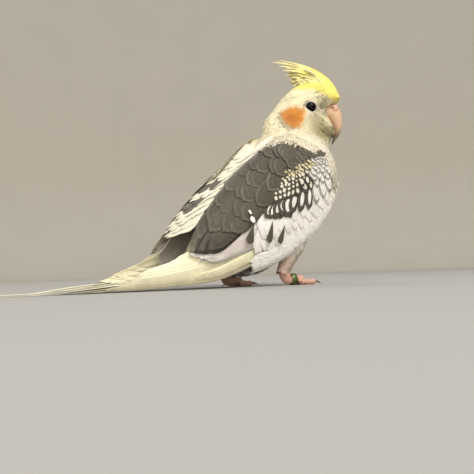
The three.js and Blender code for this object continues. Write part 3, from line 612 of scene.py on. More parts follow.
def scatter(rng, count, u_range, a_range, weight, place):
    """Places on a chart, spread by the surface's area times a weight."""
    cells_u = np.linspace(*u_range, 181)
    cells_a = np.linspace(*a_range, 181)
    u = (cells_u[1:] + cells_u[:-1]) / 2
    a = (cells_a[1:] + cells_a[:-1]) / 2
    u, a = (g.ravel() for g in np.meshgrid(u, a, indexing="ij"))
    point, per_u, per_a, _ = surface_frame(place, u, a, 0.0)
    area = np.linalg.norm(np.cross(per_u, per_a), axis=1) * weight(point, u, a)
    pick = rng.choice(len(u), count, p=area / area.sum())
    du, da = cells_u[1] - cells_u[0], cells_a[1] - cells_a[0]
    return u[pick] + rng.uniform(-0.5, 0.5, count) * du, a[pick] + rng.uniform(-0.5, 0.5, count) * da


# Markings

def smooth_step(low, high, value):
    t = np.clip((value - low) / (high - low), 0, 1)
    return t * t * (3 - 2 * t)


def blend(base, other, mask):
    return base + (np.asarray(other) - base) * np.asarray(mask)[..., None]


def patch_mask(forward, z, centre, size, soft, ragged):
    """1 inside an oval of the head's side, fading to 0 outside it."""
    off = np.hypot((forward - centre[0]) / size[0], (z - centre[1]) / size[1])
    return 1 - smooth_step(1 - soft, 1 + soft, off + ragged)


def ripple(points, scale, seed):
    """Soft uneven values from -1 to 1 that change over space."""
    rng = np.random.default_rng(seed)
    total = np.zeros(points.shape[:-1])
    for _ in range(7):
        wave = rng.normal(0, 1, 3)
        wave *= rng.uniform(0.6, 1.6) / np.linalg.norm(wave) * 2 * np.pi / scale
        total += np.sin(points @ wave + rng.uniform(0, 6.28))
    return total / 3.2


def body_markings(points, colours):
    """Colour of the skin and the small feathers at points of the bird."""
    forward, right, z = head_parts(points)
    uneven, fine, speck = (ripple(points, scale, seed) for scale, seed in ((9, 3), (3.2, 5), (1.9, 11)))
    base = blend(colours.cream, colours.face, smooth_step(84, 100, z) * 0.85)
    vent = (1 - smooth_step(30, 52, z)) * smooth_step(-44, -20, points[..., 0])
    base = blend(base, colours.shade, vent * 0.75)
    base = face_markings(base, forward, right, z, uneven, fine, speck, colours)
    return np.clip(base * (1 + 0.03 * uneven[..., None]), 0, 1)


def face_markings(base, forward, right, z, uneven, fine, speck, colours):
    """Crown, lores, brow, cheek patch, and the throat and lower face, darkened with olive as painted shade.
    """
    def oval(centre, size, soft, ragged):
        return patch_mask(forward, z, centre, size, soft, ragged) * (np.abs(right) > 5)

    # Painted shade: olive darkens the throat, which lies under the head, away from the light above.
    throat = smooth_step(-4, 6, forward + uneven) * (1 - smooth_step(101, 109, z)) * smooth_step(90.5, 95.5,
                                                                                                 z)
    crown = smooth_step(123.6, 128, z + 0.45 * forward + uneven)
    streak = 0.13 * np.sin(z * 2.6 + 3 * fine) * smooth_step(-9, -16, forward)
    fringe = oval((-13, 105.6), (8.8, 7.6), 0.16, 0.08 * fine + streak) * smooth_step(-6, -12, forward)
    cheek = oval((-11.3, 107.3), (8.0, 7.4), 0.26, 0.04 * fine + 0.6 * streak)
    for colour, mask in (
        (colours.olive_and_throat_shade, throat * 0.85),
        (colours.lemon, crown),
        (colours.smoke * 0.62, oval((8, 121.2), (5.2, 3.8), 0.5, 0.3 * fine)
         * np.clip(0.15 + 1.3 * speck, 0, 0.85)),
        (colours.smoke, oval((9.3, 113.4), (4.8, 4.6), 0.45, 0.15 * fine)
         * np.clip(0.55 + 0.5 * speck, 0.2, 0.8)),
        (colours.smoke, oval((4.6, 107.8), (5.6, 4.4), 0.5, 0.3 * fine) * np.clip(0.3 + 0.4 * fine, 0, 0.6)),
        # Painted shade: olive darkens the lower face a little.
        (colours.olive_and_throat_shade, patch_mask(forward, z, (4.5, 102), (13, 6.5), 0.5, 0.2 * uneven) * 0.4),
        (colours.face, oval((9.2, 107.2), (2.8, 3.8), 0.4, 0.2 * fine) * 0.75),
        (colours.smoke * 0.4 + colours.cream * 0.6,
         oval((EYE["forward"], EYE["z"]), (5.6, 5.4), 0.2, 0) * 0.55),
        (colours.smoke * 0.75, fringe * 0.7),
        (colours.cheek, cheek * 0.97),
        (colours.cheek * (0.7, 0.56, 0.6), oval((-12.8, 105), (5, 4), 0.6, 0.15 * fine) * cheek * 0.75),
    ):
        base = blend(base, colour, mask)
    return base


# Materials

class Wire:
    """A node's output, whose sums and products are maths nodes."""

    def __init__(self, tree, socket):
        self.tree, self.socket = tree, socket

    def maths(self, operation, *others, clamp=False):
        node = self.tree.nodes.new("ShaderNodeMath")
        node.operation, node.use_clamp = operation, clamp
        for socket, value in zip(node.inputs, (self, *others)):
            connect(self.tree, value, socket)
        return Wire(self.tree, node.outputs[0])

    def __add__(self, other):
        return self.maths("ADD", other)

    def __sub__(self, other):
        return self.maths("SUBTRACT", other)

    def __mul__(self, other):
        return self.maths("MULTIPLY", other)

    def __truediv__(self, other):
        return self.maths("DIVIDE", other)


def connect(tree, value, socket):
    """Links a wire to a socket, or sets the socket to a number or a colour."""
    if isinstance(value, Wire):
        tree.links.new(value.socket, socket)
    else:
        socket.default_value = (*value, 1) if isinstance(value, tuple) else value


def add_node(tree, kind, outputs, inputs=None, **settings):
    """The wires of a new node's outputs, or the one wire where there is one."""
    node = tree.nodes.new(kind)
    for name, value in settings.items():
        setattr(node, name, value)
    for label, value in (inputs or {}).items():
        connect(tree, value, node.inputs[label])
    wires = [Wire(tree, node.outputs[k]) for k in outputs]
    return wires if len(wires) > 1 else wires[0]


def ramp(value, low, high, to_low=0.0, to_high=1.0):
    """A smooth step of a wire from low to high."""
    limits = {"Value": value, "From Min": low, "From Max": high, "To Min": to_low, "To Max": to_high}
    return add_node(value.tree, "ShaderNodeMapRange", ["Result"], limits, interpolation_type="SMOOTHSTEP")


def distance(first, second):
    return (first * first + second * second).maths("SQRT")


def mixed(factor, first, second):
    return add_node(factor.tree, "ShaderNodeMix", [2], {0: factor, 6: first, 7: second}, data_type="RGBA")


def scaled(colour, gain):
    return add_node(colour.tree, "ShaderNodeVectorMath", [0], {0: colour, "Scale": gain}, operation="SCALE")


def attribute(tree, name):
    return add_node(tree, "ShaderNodeVertexColor", ["Color"], layer_name=name)


def own_place(tree):
    return add_node(tree, "ShaderNodeTexCoord", ["Object"])


def noise(tree, scale, detail=3):
    sizes = {"Vector": own_place(tree), "Scale": scale, "Detail": detail}
    return add_node(tree, "ShaderNodeTexNoise", ["Fac"], sizes)


def shared_group(name, inputs, outputs, formula):
    """A node group, made once, whose outputs are a formula of its inputs' wires."""
    group = bpy.data.node_groups.get(name)
    if group:
        return group
    group = bpy.data.node_groups.new(name, "ShaderNodeTree")
    for label, kind in inputs:
        group.interface.new_socket(name=label, in_out="INPUT", socket_type="NodeSocket" + kind)
    for label, kind in outputs:
        group.interface.new_socket(name=label, in_out="OUTPUT", socket_type="NodeSocket" + kind)
    start = add_node(group, "NodeGroupInput", [label for label, _ in inputs])
    end = group.nodes.new("NodeGroupOutput")
    for socket, value in zip(end.inputs, formula(group, *start)):
        connect(group, value, socket)
    return group


def feather_lines(tree, barbs, slant):
    """Barbs, shaft, place across and place along a feather, from its own map."""
    def formula(group, vane, barbs, slant):
        x, length = add_node(group, "ShaderNodeSeparateXYZ", [0, 1], {0: vane})
        across = (x * 2.0 - 1.0).maths("ABSOLUTE")
        wave = ((length - across * slant) * (barbs * 6.283)).maths("SINE")
        return wave * 0.5 + 0.5, ramp(across, 0.03, 0.1, 1.0, 0.0), across, length

    group = shared_group("Feather barbs", [("Vane", "Vector"), ("Barbs", "Float"), ("Slant", "Float")],
                         [(label, "Float") for label in ("Barb", "Shaft", "Across", "Along")], formula)
    place = add_node(tree, "ShaderNodeUVMap", ["UV"], uv_map="Vane")
    return add_node(tree, "ShaderNodeGroup", range(4), {"Vane": place, "Barbs": barbs, "Slant": slant},
                    node_tree=group)


def uneven_colour(tree, source, scale, amount):
    """A colour made unevenly lighter and darker over space, and the unevenness itself."""
    def formula(group, colour, scale, amount):
        value = noise(group, scale)
        return scaled(colour, (value - 0.5) * (amount * 2.0) + 1.0), value

    group = shared_group("Uneven colour", [("Color", "Color"), ("Scale", "Float"), ("Amount", "Float")],
                         [("Color", "Color"), ("Value", "Float")], formula)
    inputs = {"Color": source, "Scale": scale, "Amount": amount}
    return add_node(tree, "ShaderNodeGroup", range(2), inputs, node_tree=group)


def new_material(name, roughness, **constants):
    """A material with its shader, whose constants are set on the shader's own sockets."""
    material = bpy.data.materials.new(name)
    material.use_nodes = True
    tree = material.node_tree
    shader = tree.nodes["Principled BSDF"]
    shader.inputs["Roughness"].default_value = roughness
    for label, value in constants.items():
        shader.inputs[label.replace("_", " ")].default_value = value
    return material, tree, shader


def finish_material(tree, shader, colour, height=None, strength=0.0, depth=0.0):
    """Links the colour, and a bump whose depth is in millimetres."""
    connect(tree, colour, shader.inputs["Base Color"])
    if height:
        sizes = {"Height": height, "Strength": strength, "Distance": depth * MM}
        connect(tree, add_node(tree, "ShaderNodeBump", ["Normal"], sizes), shader.inputs["Normal"])


def plain_material(name, roughness, scale, amount, source=None, grain=0, bump=None, **constants):
    """One uneven tint, with a bump of its own grain where that is given."""
    material, tree, shader = new_material(name, roughness, **constants)
    tint, value = uneven_colour(tree, source or attribute(tree, "Tint"), scale, amount)
    finish_material(tree, shader, tint, *((noise(tree, grain, 4) if grain else value, *bump) if bump else ()))
    return material


def bare_skin_material(name, scale, depth):
    """Bare skin with small scales, darkened in the creases between them with painted shade."""
    material, tree, shader = new_material(name, 0.55, Subsurface_Weight=0.12, Subsurface_Scale=0.4,
                                          Subsurface_Radius=(0.004, 0.0015, 0.001))
    edge = add_node(tree, "ShaderNodeTexVoronoi", ["Distance"], {"Vector": own_place(tree), "Scale": scale},
                    feature="DISTANCE_TO_EDGE")
    # Painted shade: the colour is darker in the creases between the scales.
    crease = ramp(edge, 0.0, 0.12, 0.72, 1.0)
    tint, _ = uneven_colour(tree, attribute(tree, "Tint"), 500, 0.2)
    finish_material(tree, shader, scaled(tint, crease), crease, 0.6, depth)
    return material


def down_material(name):
    """Small soft feathers, coloured by their markings, a little darker at the root."""
    material, tree, shader = new_material(name, 0.82, Sheen_Weight=0.12, Sheen_Roughness=0.6,
                                          Specular_IOR_Level=0.25)
    barb, _, _, length = feather_lines(tree, 6.0, 0.35)
    tint, _ = uneven_colour(tree, attribute(tree, "Tint"), 420, 0.12)
    finish_material(tree, shader, scaled(tint, ramp(length, 0.0, 0.55, 0.9, 1.0) * (barb * 0.06 + 0.94)))
    return material


def vane_material(name):
    """Wing and tail feathers: a ground and a mark, which is an edge, an oval spot and a dark or pale root."""
    material, tree, shader = new_material(name, 0.66, Sheen_Weight=0.08, Specular_IOR_Level=0.25)
    barb, shaft, across, length = feather_lines(tree, 34.0, 0.22)
    ground, mark, marks, spot = (attribute(tree, layer) for layer in PAINTS)
    rim, drop, root = add_node(tree, "ShaderNodeSeparateColor", range(3), {0: marks})
    centre, high, wide = add_node(tree, "ShaderNodeSeparateColor", range(3), {0: spot})
    ragged = noise(tree, 520) * 0.3 - 0.15
    out = distance(across, (length * 2.4 - 1.4).maths("MAXIMUM", 0.0)) + ragged * 0.7
    edge = ramp(out, 0.7, 0.86) * ramp(out, 0.93, 1.02, 1.0, 0.45)
    inner_arc = ramp(out, 0.36, 0.46) * ramp(out, 0.46, 0.62, 0.35, 0.0)
    up, beside = (length - centre) / high.maths("MAXIMUM", 0.01), across / wide.maths("MAXIMUM", 0.01)
    oval = ramp(distance(up, beside) + ragged, 0.78, 1.05, 1.0, 0.0)
    wedge = ramp(across * 0.35 + (length + ragged), 0.5, 0.72, 1.0, 0.0)
    marked = ((edge + inner_arc) * rim).maths("MAXIMUM", oval * drop).maths("MAXIMUM", wedge * root,
                                                                            clamp=True)
    colour = mixed(shaft * 0.09, mixed(marked, ground, mark), (0.2, 0.17, 0.13))
    for scale, amount in ((120, 0.26), (900, 0.12)):
        colour, _ = uneven_colour(tree, colour, scale, amount)
    finish_material(tree, shader, scaled(colour, barb * 0.07 + 0.95), barb, 0.2, 0.06)
    return material


def horn_material(name):
    return plain_material(name, 0.38, 900, 0.14, grain=1500, bump=(0.2, 0.06), Coat_Roughness=0.25)


def material_once(name, maker):
    return bpy.data.materials.get(name) or maker(name)


# Pieces

class Step:
    """What every step shares: it builds its pieces with the scene's sizes and colours."""

    def execute(self, context):
        scene = context.scene
        colours = {name: np.array(getattr(scene.cockatiel_colours, name))
                   for name in CockatielColours.__annotations__}
        self.build(scene.cockatiel_sizes, SimpleNamespace(**colours))
        return {"FINISHED"}


def tinted_piece(name, points, faces, tint, material, slot_name, *nodes):
    """A piece with one tint, or with one for each point."""
    mesh = build_mesh(name, points, faces, None, {"Tint": np.broadcast_to(tint, (len(points), 3))})
    return add_piece(name, mesh, material, slot_name, *nodes)


SHIN_WIDTHS = np.array([[0, 0.8], [0.03, 3.4], [0.08, 5.8], [0.15, 7.6], [0.35, 7.3], [0.6, 5.2], [0.8, 4.3],
                        [1, 3.7]])
SKIN_VOXEL = 0.9


def shin_line(leg, count):
    return smooth_line([leg[k] for k in ("hip", "shin", "hock")], count)


def shin_width(t):
    return np.interp(t, SHIN_WIDTHS[:, 0], SHIN_WIDTHS[:, 1])


def body_shape(depth):
    return closed_grid(body_place(np.linspace(0, BODY_END, 150)[:, None], np.arange(120)[None] * 3.0, -depth))


def shin_shape(leg, depth):
    return tube(shin_line(leg, 24), np.maximum(shin_width(np.linspace(0, 1, 24)) - depth, 0.4), 32)


class COCKATIEL_OT_skin(Step, Operator):
    """Builds the skin under the feathers of the body, neck, head and shins"""

    bl_idname = "cockatiel.skin"
    bl_label = "Skin"

    def build(self, sizes, colours):
        depth = sizes.coat_depth / MM
        shapes = [body_shape(depth), *(shin_shape(leg, 0.7 * depth) for leg in LEGS.values())]
        mesh = remeshed("skin", *join_shapes(shapes), voxel=SKIN_VOXEL)
        paint(mesh, "Tint", body_markings(mesh_points(mesh), colours) * 0.95)
        material = plain_material("bird_skin", 0.9, 700, 0.25, bump=(0.5, 0.4), Specular_IOR_Level=0.2)
        add_piece("skin", mesh, material, "plumage_pale", "torso", "neck", "head", "shin_left", "shin_right")


SEEN_AT = 0.6  # how far along a small feather its colour is taken


def even(points, u, a):
    """A weight for scatter that is the same everywhere."""
    return 1 + 0 * u


def coat_direction(points, per_u):
    """How the small feathers lie: away from the bill over the head, then down the neck and back."""
    forward, _, z = head_parts(points)
    face = smooth_step(-16, 6, forward) * smooth_step(94, 102, z)
    face = np.maximum(face, smooth_step(119, 125, z) * 0.9)[:, None]
    return unit(points - head_point(17.0, 0.0, 110.0)) * face - unit(per_u) * (1 - 0.85 * face)


def from_eye(forward, z):
    return np.hypot(forward - EYE["forward"], z - EYE["z"])


def away_from_bare_parts(points):
    """False where the eye, cere and upper bill leave no room for feathers."""
    forward, right, z = head_parts(points)
    free = (from_eye(forward, z) > 4.2) | (np.abs(right) < 9)
    bare = [(head_point(f[0], 0.0, f[1]), 0.5 * (f[3] + f[4]))
            for f in along(UPPER_BILL, np.linspace(1.2, len(UPPER_BILL) - 1, 26))]
    bare += [(head_point(CERE["forward"], side * CERE["right"], CERE["z"]), CERE["radius"])
             for side in (-1, 1)]
    for centre, radius in bare:
        free &= np.linalg.norm(points - centre, axis=1) > radius + 0.1
    return free


def clear_of_eye(points, direction, long):
    """False for feathers whose tip would lie over the opening of an eye."""
    forward, right, z = head_parts(points + unit(direction) * long[:, None])
    return (from_eye(forward, z) > 3.7) | (np.abs(right) < 8)


def face_share(points):
    """1 on the face, 0 on the nape and neck."""
    forward, _, z = head_parts(points)
    return smooth_step(-8, 8, forward) * smooth_step(96, 104, z)


def tuft_piece(name, place, u, a, direction, sizes, tint, rng, slot_name="plumage_pale", rise=0.0, outward=1,
               sheet=None, lowest=0.0):
    """One coat piece of small feathers at places of a chart; sizes are their length, width and lifts."""
    feathers = lay_tufts(place, u, a, direction, *sizes, rng, outward)
    parts = [(*feathers, np.repeat(tint, TUFT_POINTS, 0)), *([sheet] if sheet else [])]
    points, faces = join_shapes([(part[0], *part[1]) for part in parts])
    local, bake, normals, tint = (np.concatenate(values) for values in zip(*(part[2:] for part in parts)))
    points[:, 2] = np.maximum(points[:, 2], lowest)
    mesh = build_mesh(name, points, faces, {"OFBake": bake, "Vane": local}, {"Tint": np.clip(tint, 0, 1)})
    set_normals(mesh, normals + rise * UP)
    add_piece(name, mesh, material_once("soft_feathers", down_material), slot_name)


def coat_piece(name, rng, count, u_range, weight, long, wide, high, colours):
    """One coat piece on the body's sweep; length and width are functions of the points."""
    u, a = scatter(rng, count, u_range, (0, 360), weight, body_place)
    free = away_from_bare_parts(body_place(u, a, 0.0))
    u, a = u[free], a[free]
    point, per_u, _, _ = surface_frame(body_place, u, a, 0.0)
    size = rng.uniform(0.8, 1.2, len(u))
    long, wide = long(point) * size, wide(point) * size
    direction = coat_direction(point, per_u)
    clear = clear_of_eye(point, direction, long)
    u, a, long, wide, direction, point = (v[clear] for v in (u, a, long, wide, direction, point))
    seen = point + unit(direction) * (SEEN_AT * long)[:, None]
    tint = body_markings(seen, colours) * rng.uniform(0.95, 1.05, len(u))[:, None]
    high = high + rng.uniform(-0.2, 0.25, len(u))
    tuft_piece(name, body_place, u, a, direction, (long, wide, -1.2, high), tint, rng,
               "plumage_face" if u_range[0] > 7 else "plumage_pale", 0.4 if u_range[0] > 6 else 0.1)


class COCKATIEL_OT_head_feathers(Step, Operator):
    """Lays the small feathers of the head, face and neck"""

    bl_idname = "cockatiel.head_feathers"
    bl_label = "Head feathers"

    def build(self, sizes, colours):
        face, head, neck = (getattr(sizes, f"{part}_tuft") / MM for part in ("face", "head", "neck"))
        rng = np.random.default_rng(SEEDS["head"])

        def long_head(points):
            forward, _, z = head_parts(points)
            eye = smooth_step(4, 9, from_eye(forward, z))
            return face + (head - face) * np.minimum(1 - 0.75 * face_share(points), 0.25 + 0.75 * eye)

        for index in (1, 2):
            coat_piece(f"head_feathers_{index}", rng, sizes.head_count // 2, (8.6, BODY_END - 0.05),
                       lambda p, u, a: 0.75 + 0.9 * face_share(p), long_head,
                       lambda p: 0.24 * long_head(p) + 0.25,
                       0.1, colours)
        self.bristles(colours, rng)
        coat_piece("neck_feathers", rng, sizes.neck_count, (6.6, 10.0), even,
                   lambda p: neck + (head - neck) * smooth_step(92, 106, p[:, 2]),
                   lambda p: np.full(len(p), 1.7),
                   0.25, colours)

    def bristles(self, colours, rng):
        """Short feathers that lie forward over the rear edge of the bill."""
        def weight(points, u, a):
            forward, right, z = head_parts(points)
            near = smooth_step(3.5, 7.5, forward) * (1 - smooth_step(111.5, 113.5, z)) * smooth_step(98, 101,
                                                                                                     z)
            return near * (np.abs(right) > 3.6) + 1e-6

        u, a = scatter(rng, TUFTS["bill"], (8.6, 13.5), (-180, 180), weight, body_place)
        point = body_place(u, a, 0.0)
        _, right, z = head_parts(point)
        lean = smooth_step(100, 112, z)[:, None]
        direction = AHEAD * (0.5 + 0.5 * lean) - UP * (0.75 - 0.4
                                                       * lean) - TO_RIGHT * np.sign(right)[:, None] * 0.25
        direction = direction + rng.normal(0, 0.12, point.shape)
        long = rng.uniform(2.6, 4.4, len(u))
        tint = body_markings(point, colours) * rng.uniform(0.93, 1.05, len(u))[:, None]
        lengths = (long, 0.24 * long + 0.2, -0.8, rng.uniform(0.5, 1.5, len(u)))
        tuft_piece("bill_feathers", body_place, u, a, direction, lengths, tint, rng, "plumage_face", 0.3)


WING_CHART_END = 8.84  # past this row the wing's chart runs out


class COCKATIEL_OT_body_feathers(Step, Operator):
    """Lays the feathers of the back, breast, belly and shins"""

    bl_idname = "cockatiel.body_feathers"
    bl_label = "Body feathers"

    def build(self, sizes, colours):
        body, neck = sizes.body_tuft / MM, sizes.neck_tuft / MM
        rng = np.random.default_rng(SEEDS["body"])
        long = lambda p: neck + (body - neck) * (1 - smooth_step(70, 92, p[:, 2])) * (1 + 0.35
                                                                                      * (p[:, 2] < 26))
        for index in (1, 2):
            coat_piece(f"body_feathers_{index}", rng, sizes.body_count // 2, (0.3, 7.0), even, long,
                       lambda p: 0.26 * long(p), 0.35, colours)
        for name, leg in LEGS.items():
            self.shin(name, leg, sizes.leg_count, colours, rng)
        for name, side in SIDES:
            self.fringe(name, side, colours, rng)
            self.flank(name, side, colours, rng)
            self.bridge(name, side, colours, rng)
        self.vent(colours, rng)

    def fringe(self, name, side, colours, rng):
        """Body feathers that lap over the upper and inner edge of a wing."""
        count = TUFTS["shoulder"]
        share = rng.uniform(0, 1, count)
        u, a = (place_at(WING_BORDER, share) + rng.normal(0, 1, (count, 2)) * (0.12, 2.2)).T
        long = rng.uniform(4.5, 8.5, count)
        high = np.interp(share, [0, 0.5, 1], [2.4, 3.5, 3.0]) + rng.uniform(-0.7, 0.4, count)
        self.laid(f"shoulder_feathers_{name}", wing_place(side), side, -1, np.minimum(u, WING_CHART_END), a,
                  long, -0.8,
                  high, colours, rng)

    def flank(self, name, side, colours, rng):
        """Feathers that fill the fold between the belly and the lower edge of a wing."""
        place = flank_place(side)
        u, a = scatter(rng, TUFTS["flank"], (4.7, 8.85), (16, 67), even, place)
        long = rng.uniform(9.0, 14.0, len(u))
        high = 0.5 + 1.6 * smooth_step(42, 60, a) + rng.uniform(-0.15, 0.15, len(u))
        chart = (np.linspace(4.6, 8.9, 50), np.linspace(8, 66, 30), -1.6)
        self.laid(f"flank_feathers_{name}", place, side, -1, u, a, long, -0.9, high, colours, rng, chart)

    def bridge(self, name, side, colours, rng):
        """Feathers that lead from the neck and the breast over to the wing."""
        place = bridge_place(side)
        u, a = scatter(rng, TUFTS["neck_base"], (0.0, 0.95), (0, 99), even, place)
        long = rng.uniform(5.0, 8.0, len(u))
        high = 0.5 + rng.uniform(-0.2, 0.3, len(u))
        chart = (np.linspace(0, 1.0, 24), np.linspace(0, 99, 60), -1.5)
        self.laid(f"neck_base_feathers_{name}", place, side, 1, u, a, long, -0.9, high, colours, rng, chart)

    def laid(self, name, place, side, way, u, a, long, low, high, colours, rng, chart=None):
        """Small feathers that lie up or down a chart's rows, over a closed sheet where its chart is given."""
        outward = -side * way
        point, per_u, _, _ = surface_frame(place, u, a, 0.0, outward)
        direction = way * unit(per_u)
        seen = point + direction * (SEEN_AT * long)[:, None]
        white = smooth_step(74, 44, seen[:, 2]) if chart and way < 0 else np.zeros(len(u))
        tint = blend(body_markings(seen, colours), colours.white, white) * rng.uniform(0.95, 1.04,
                                                                                       len(u))[:, None]
        sheet = self.lining(place, side, outward, colours.white * 0.8, *chart) if chart else None
        tuft_piece(name, place, u, a, direction, (long, 0.2 * long + 0.1, low, high), tint, rng, rise=0.15,
                   outward=outward, sheet=sheet)

    def lining(self, place, side, outward, tint, rows, angles, depth):
        """A closed sheet under small feathers."""
        rows, angles = np.meshgrid(rows, angles, indexing="ij")
        points, faces, local, bake = sheets(place(rows, angles, -0.5)[None], place(rows, angles, depth)[None],
                                            np.array([[0.9, 0.9, 0.04, 0.08]]))
        faces = [f if outward == LEFT else f[:, ::-1] for f in faces]
        normals = np.repeat([[0.0, side, 0.2], [0.0, -side, -0.2]], len(points) // 2, 0)
        return points, faces, local, bake, normals, np.tile(tint, (len(points), 1))

    def vent(self, colours, rng):
        """Loose feathers that hang under the belly, between the legs and the tail."""
        u, a = scatter(rng, TUFTS["vent"], (0.9, 4.4), (-80, 80), even, body_place)
        point, per_u, _, _ = surface_frame(body_place, u, a, 0.0)
        long = rng.uniform(8, 13, len(u))
        high = rng.uniform(0.6, 4.2, len(u)) * smooth_step(0.9, 2.2, u)
        tint = blend(body_markings(point, colours), colours.shade, 0.7) * rng.uniform(0.82, 1.0, len(u))[:,
                                                                                                         None]
        tuft_piece("vent_feathers", body_place, u, a, -unit(per_u), (long, 0.2 * long, -1.0, high), tint, rng,
                   lowest=0.8)

    def shin(self, name, leg, count, colours, rng):
        """Short feathers round a shin."""
        line = shin_line(leg, 40)
        length = np.linalg.norm(line[-1] - line[0])
        axis = (line[-1] - line[0]) / length
        front = np.cross(LEFTWARD, axis)

        def place(u, a, lift):
            u, a, lift = np.broadcast_arrays(np.asarray(u, float), a, lift)
            t, r = np.clip(u, 0, 1), np.radians(a)
            centre = place_at(line, t) + np.maximum(u - 1, 0)[..., None] * length * axis
            spoke = np.cos(r)[..., None] * front + np.sin(r)[..., None] * LEFTWARD
            return centre + (shin_width(t) + lift)[..., None] * spoke

        u, a = rng.uniform(0.02, 1.0, count), rng.uniform(0, 360, count)
        point, per_u, _, _ = surface_frame(place, u, a, 0.0)
        long = (6.5 - 3.6 * u) * rng.uniform(0.8, 1.2, count)
        tint = blend(body_markings(point, colours), (colours.foot + colours.shade) / 2,
                     smooth_step(0.35, 0.9, u))
        tint = tint * rng.uniform(0.93, 1.05, count)[:, None]
        high = 0.2 + rng.uniform(-0.2, 0.2, count)
        tuft_piece(f"shin_feathers_{name}", place, u, a, unit(per_u), (long, 0.3 * long, -1.0, high), tint,
                   rng)


def place_at(places, share):
    """Places along a list, at shares from 0 to 1."""
    places = np.asarray(places, float)
    at = np.asarray(share) * (len(places) - 1)
    return np.stack([np.interp(at, np.arange(len(places)), column) for column in places.T], -1)


# Wing tiers from the outermost feather, low on the flank, to the innermost: name, number, width, lift at
# root and tip, tilt, shape, then the roots and the tips as rows along and degrees round.
FLIGHT_TIERS = [
    ("primaries", 10, 8.2, (-0.4, 0.1), 0.1, LONG_SHAPE,
     [(5.25, 68), (4.7, 76), (4.2, 88), (3.9, 100)], [(0.32, 63), (0.55, 74), (1.1, 92), (2, 108)]),
    ("clipped", 3, 7.4, (0.1, 0.7), 0.05, CUT_SHAPE, [(5.0, 69), (5.0, 71)], [(2.45, 69.5), (3.0, 68)]),
    ("secondaries", 7, 10, (0.9, 1.8), 0.06, LONG_SHAPE,
     [(5.9, 77), (5.3, 90), (5.0, 104)], [(3.05, 90), (2.78, 96), (2.6, 110)]),
    ("tertials", 5, 12.5, (2.3, 2.9), 0.05, ROUND_SHAPE,
     [(4.9, 111), (4.8, 137)], [(2.9, 104), (2.62, 112), (2.6, 120), (3.0, 129)]),
    ("scapulars_low", 4, 13, (2.7, 3.3), 0.05, ROUND_SHAPE,
     [(5.7, 111), (5.5, 140)], [(3.95, 104), (3.45, 118), (3.7, 134)]),
    ("scapulars_mid", 4, 12.5, (2.8, 3.45), 0.05, ROUND_SHAPE,
     [(6.2, 114), (6.0, 142)], [(4.6, 107), (4.2, 124), (4.5, 141)]),
    ("scapulars_inner", 4, 12, (2.9, 3.6), 0.05, ROUND_SHAPE, [(6.7, 118), (6.5, 143)],
     [(5.3, 112), (5.0, 143)]),
    ("scapulars_upper", 4, 11.5, (2.9, 3.75), 0.05, ROUND_SHAPE, [(7.3, 121), (7.1, 141)],
     [(5.95, 116), (5.7, 144)]),
    ("scapulars_top", 4, 11.5, (2.6, 3.85), 0.05, ROUND_SHAPE, [(7.8, 121), (7.6, 138)],
     [(6.55, 118), (6.35, 142)]),
    ("scapulars_shoulder", 5, 11, (1.6, 3.9), 0.05, ROUND_SHAPE, [(8.25, 112), (8.1, 134)],
     [(7.2, 118), (7.05, 139)]),
]
# A wing's inner edge, from the shoulder down, where feathers reach over to the back.
INNER_EDGE = [(8.2, 147), (7.4, 148), (6.6, 149), (5.8, 150), (5.0, 149), (4.2, 147), (3.8, 144)]
INNER_COUNT = 40
# Rows of wing coverts, from the greater coverts up to the shoulder: roots and tips.
COVERT_LINES = [
    {"root": [(5.3, 88), (6.5, 78), (7.9, 70)], "tip": [(4.4, 72), (5.3, 64), (6.3, 59), (7.4, 59)]},
    {"root": [(6.0, 103), (7.0, 93), (8.2, 78)], "tip": [(5.25, 93), (6.1, 81), (7.85, 65)]},
    {"root": [(6.7, 112), (7.5, 102), (8.4, 86)], "tip": [(5.85, 105), (6.8, 91), (8.15, 71)]},
    {"root": [(7.5, 119), (8, 108), (8.5, 95)], "tip": [(6.75, 113), (7.5, 98), (8.35, 80)]},
    {"root": [(7.9, 128), (8.4, 115), (8.7, 104)], "tip": [(7.3, 120), (7.9, 106), (8.5, 89)]},
]
# Covert rows: kind, place among the lines, feathers, width, share of the root kept, lift at root and tip.
COVERT_ROWS = [
    ("pale", 0.0, 11, 12.5, 1.5, 1.2, 1.7),
    ("pale", 0.4, 11, 12.0, 1.5, 1.5, 2.0),
    ("pale_front", 0.72, 10, 10.0, 1.3, 1.7, 2.3),
    ("large_spots", 1.0, 11, 7.6, 1.3, 1.8, 2.8),
    ("spots", 1.8, 12, 6.2, 1.05, 2.1, 3.0),
    ("spots", 2.12, 12, 5.8, 1.0, 2.2, 3.1),
    ("spots", 2.4, 13, 5.6, 0.95, 2.2, 3.2),
    ("spots", 2.64, 13, 5.4, 0.9, 2.3, 3.25),
    ("yellow", 2.85, 13, 5.4, 0.9, 2.3, 3.3),
    ("yellow", 3.04, 12, 5.4, 0.9, 2.3, 3.35),
    ("yellow", 3.22, 12, 5.6, 0.9, 2.2, 3.4),
    ("band", 3.42, 9, 9.5, 1.2, 1.8, 3.5),
    ("band", 3.85, 8, 10.5, 1.4, 0.8, 3.2),
]
# Single marks on the right wing: root, tip, width, height, shape, colour and its strength.
WING_MARKS = [
    ((4.88, 94), (4.36, 83), 5.4, 3.4, WEDGE_SHAPE, "dark", 1),
    ((5.49, 86), (4.97, 75.5), 4.6, 3.2, WEDGE_SHAPE, "dark", 1),
    ((5.76, 78), (5.29, 70), 4.4, 2.9, WEDGE_SHAPE, "dark", 1),
    ((4.98, 104), (4.83, 98), 3.0, 5.0, ROUND_SHAPE, "white", 1),
    ((5.04, 112), (4.97, 107), 1.5, 5.2, ROUND_SHAPE, "white", 1),
    ((7.12, 149), (6.96, 146), 2.2, 5.2, ROUND_SHAPE, "dark", 0.2),
]
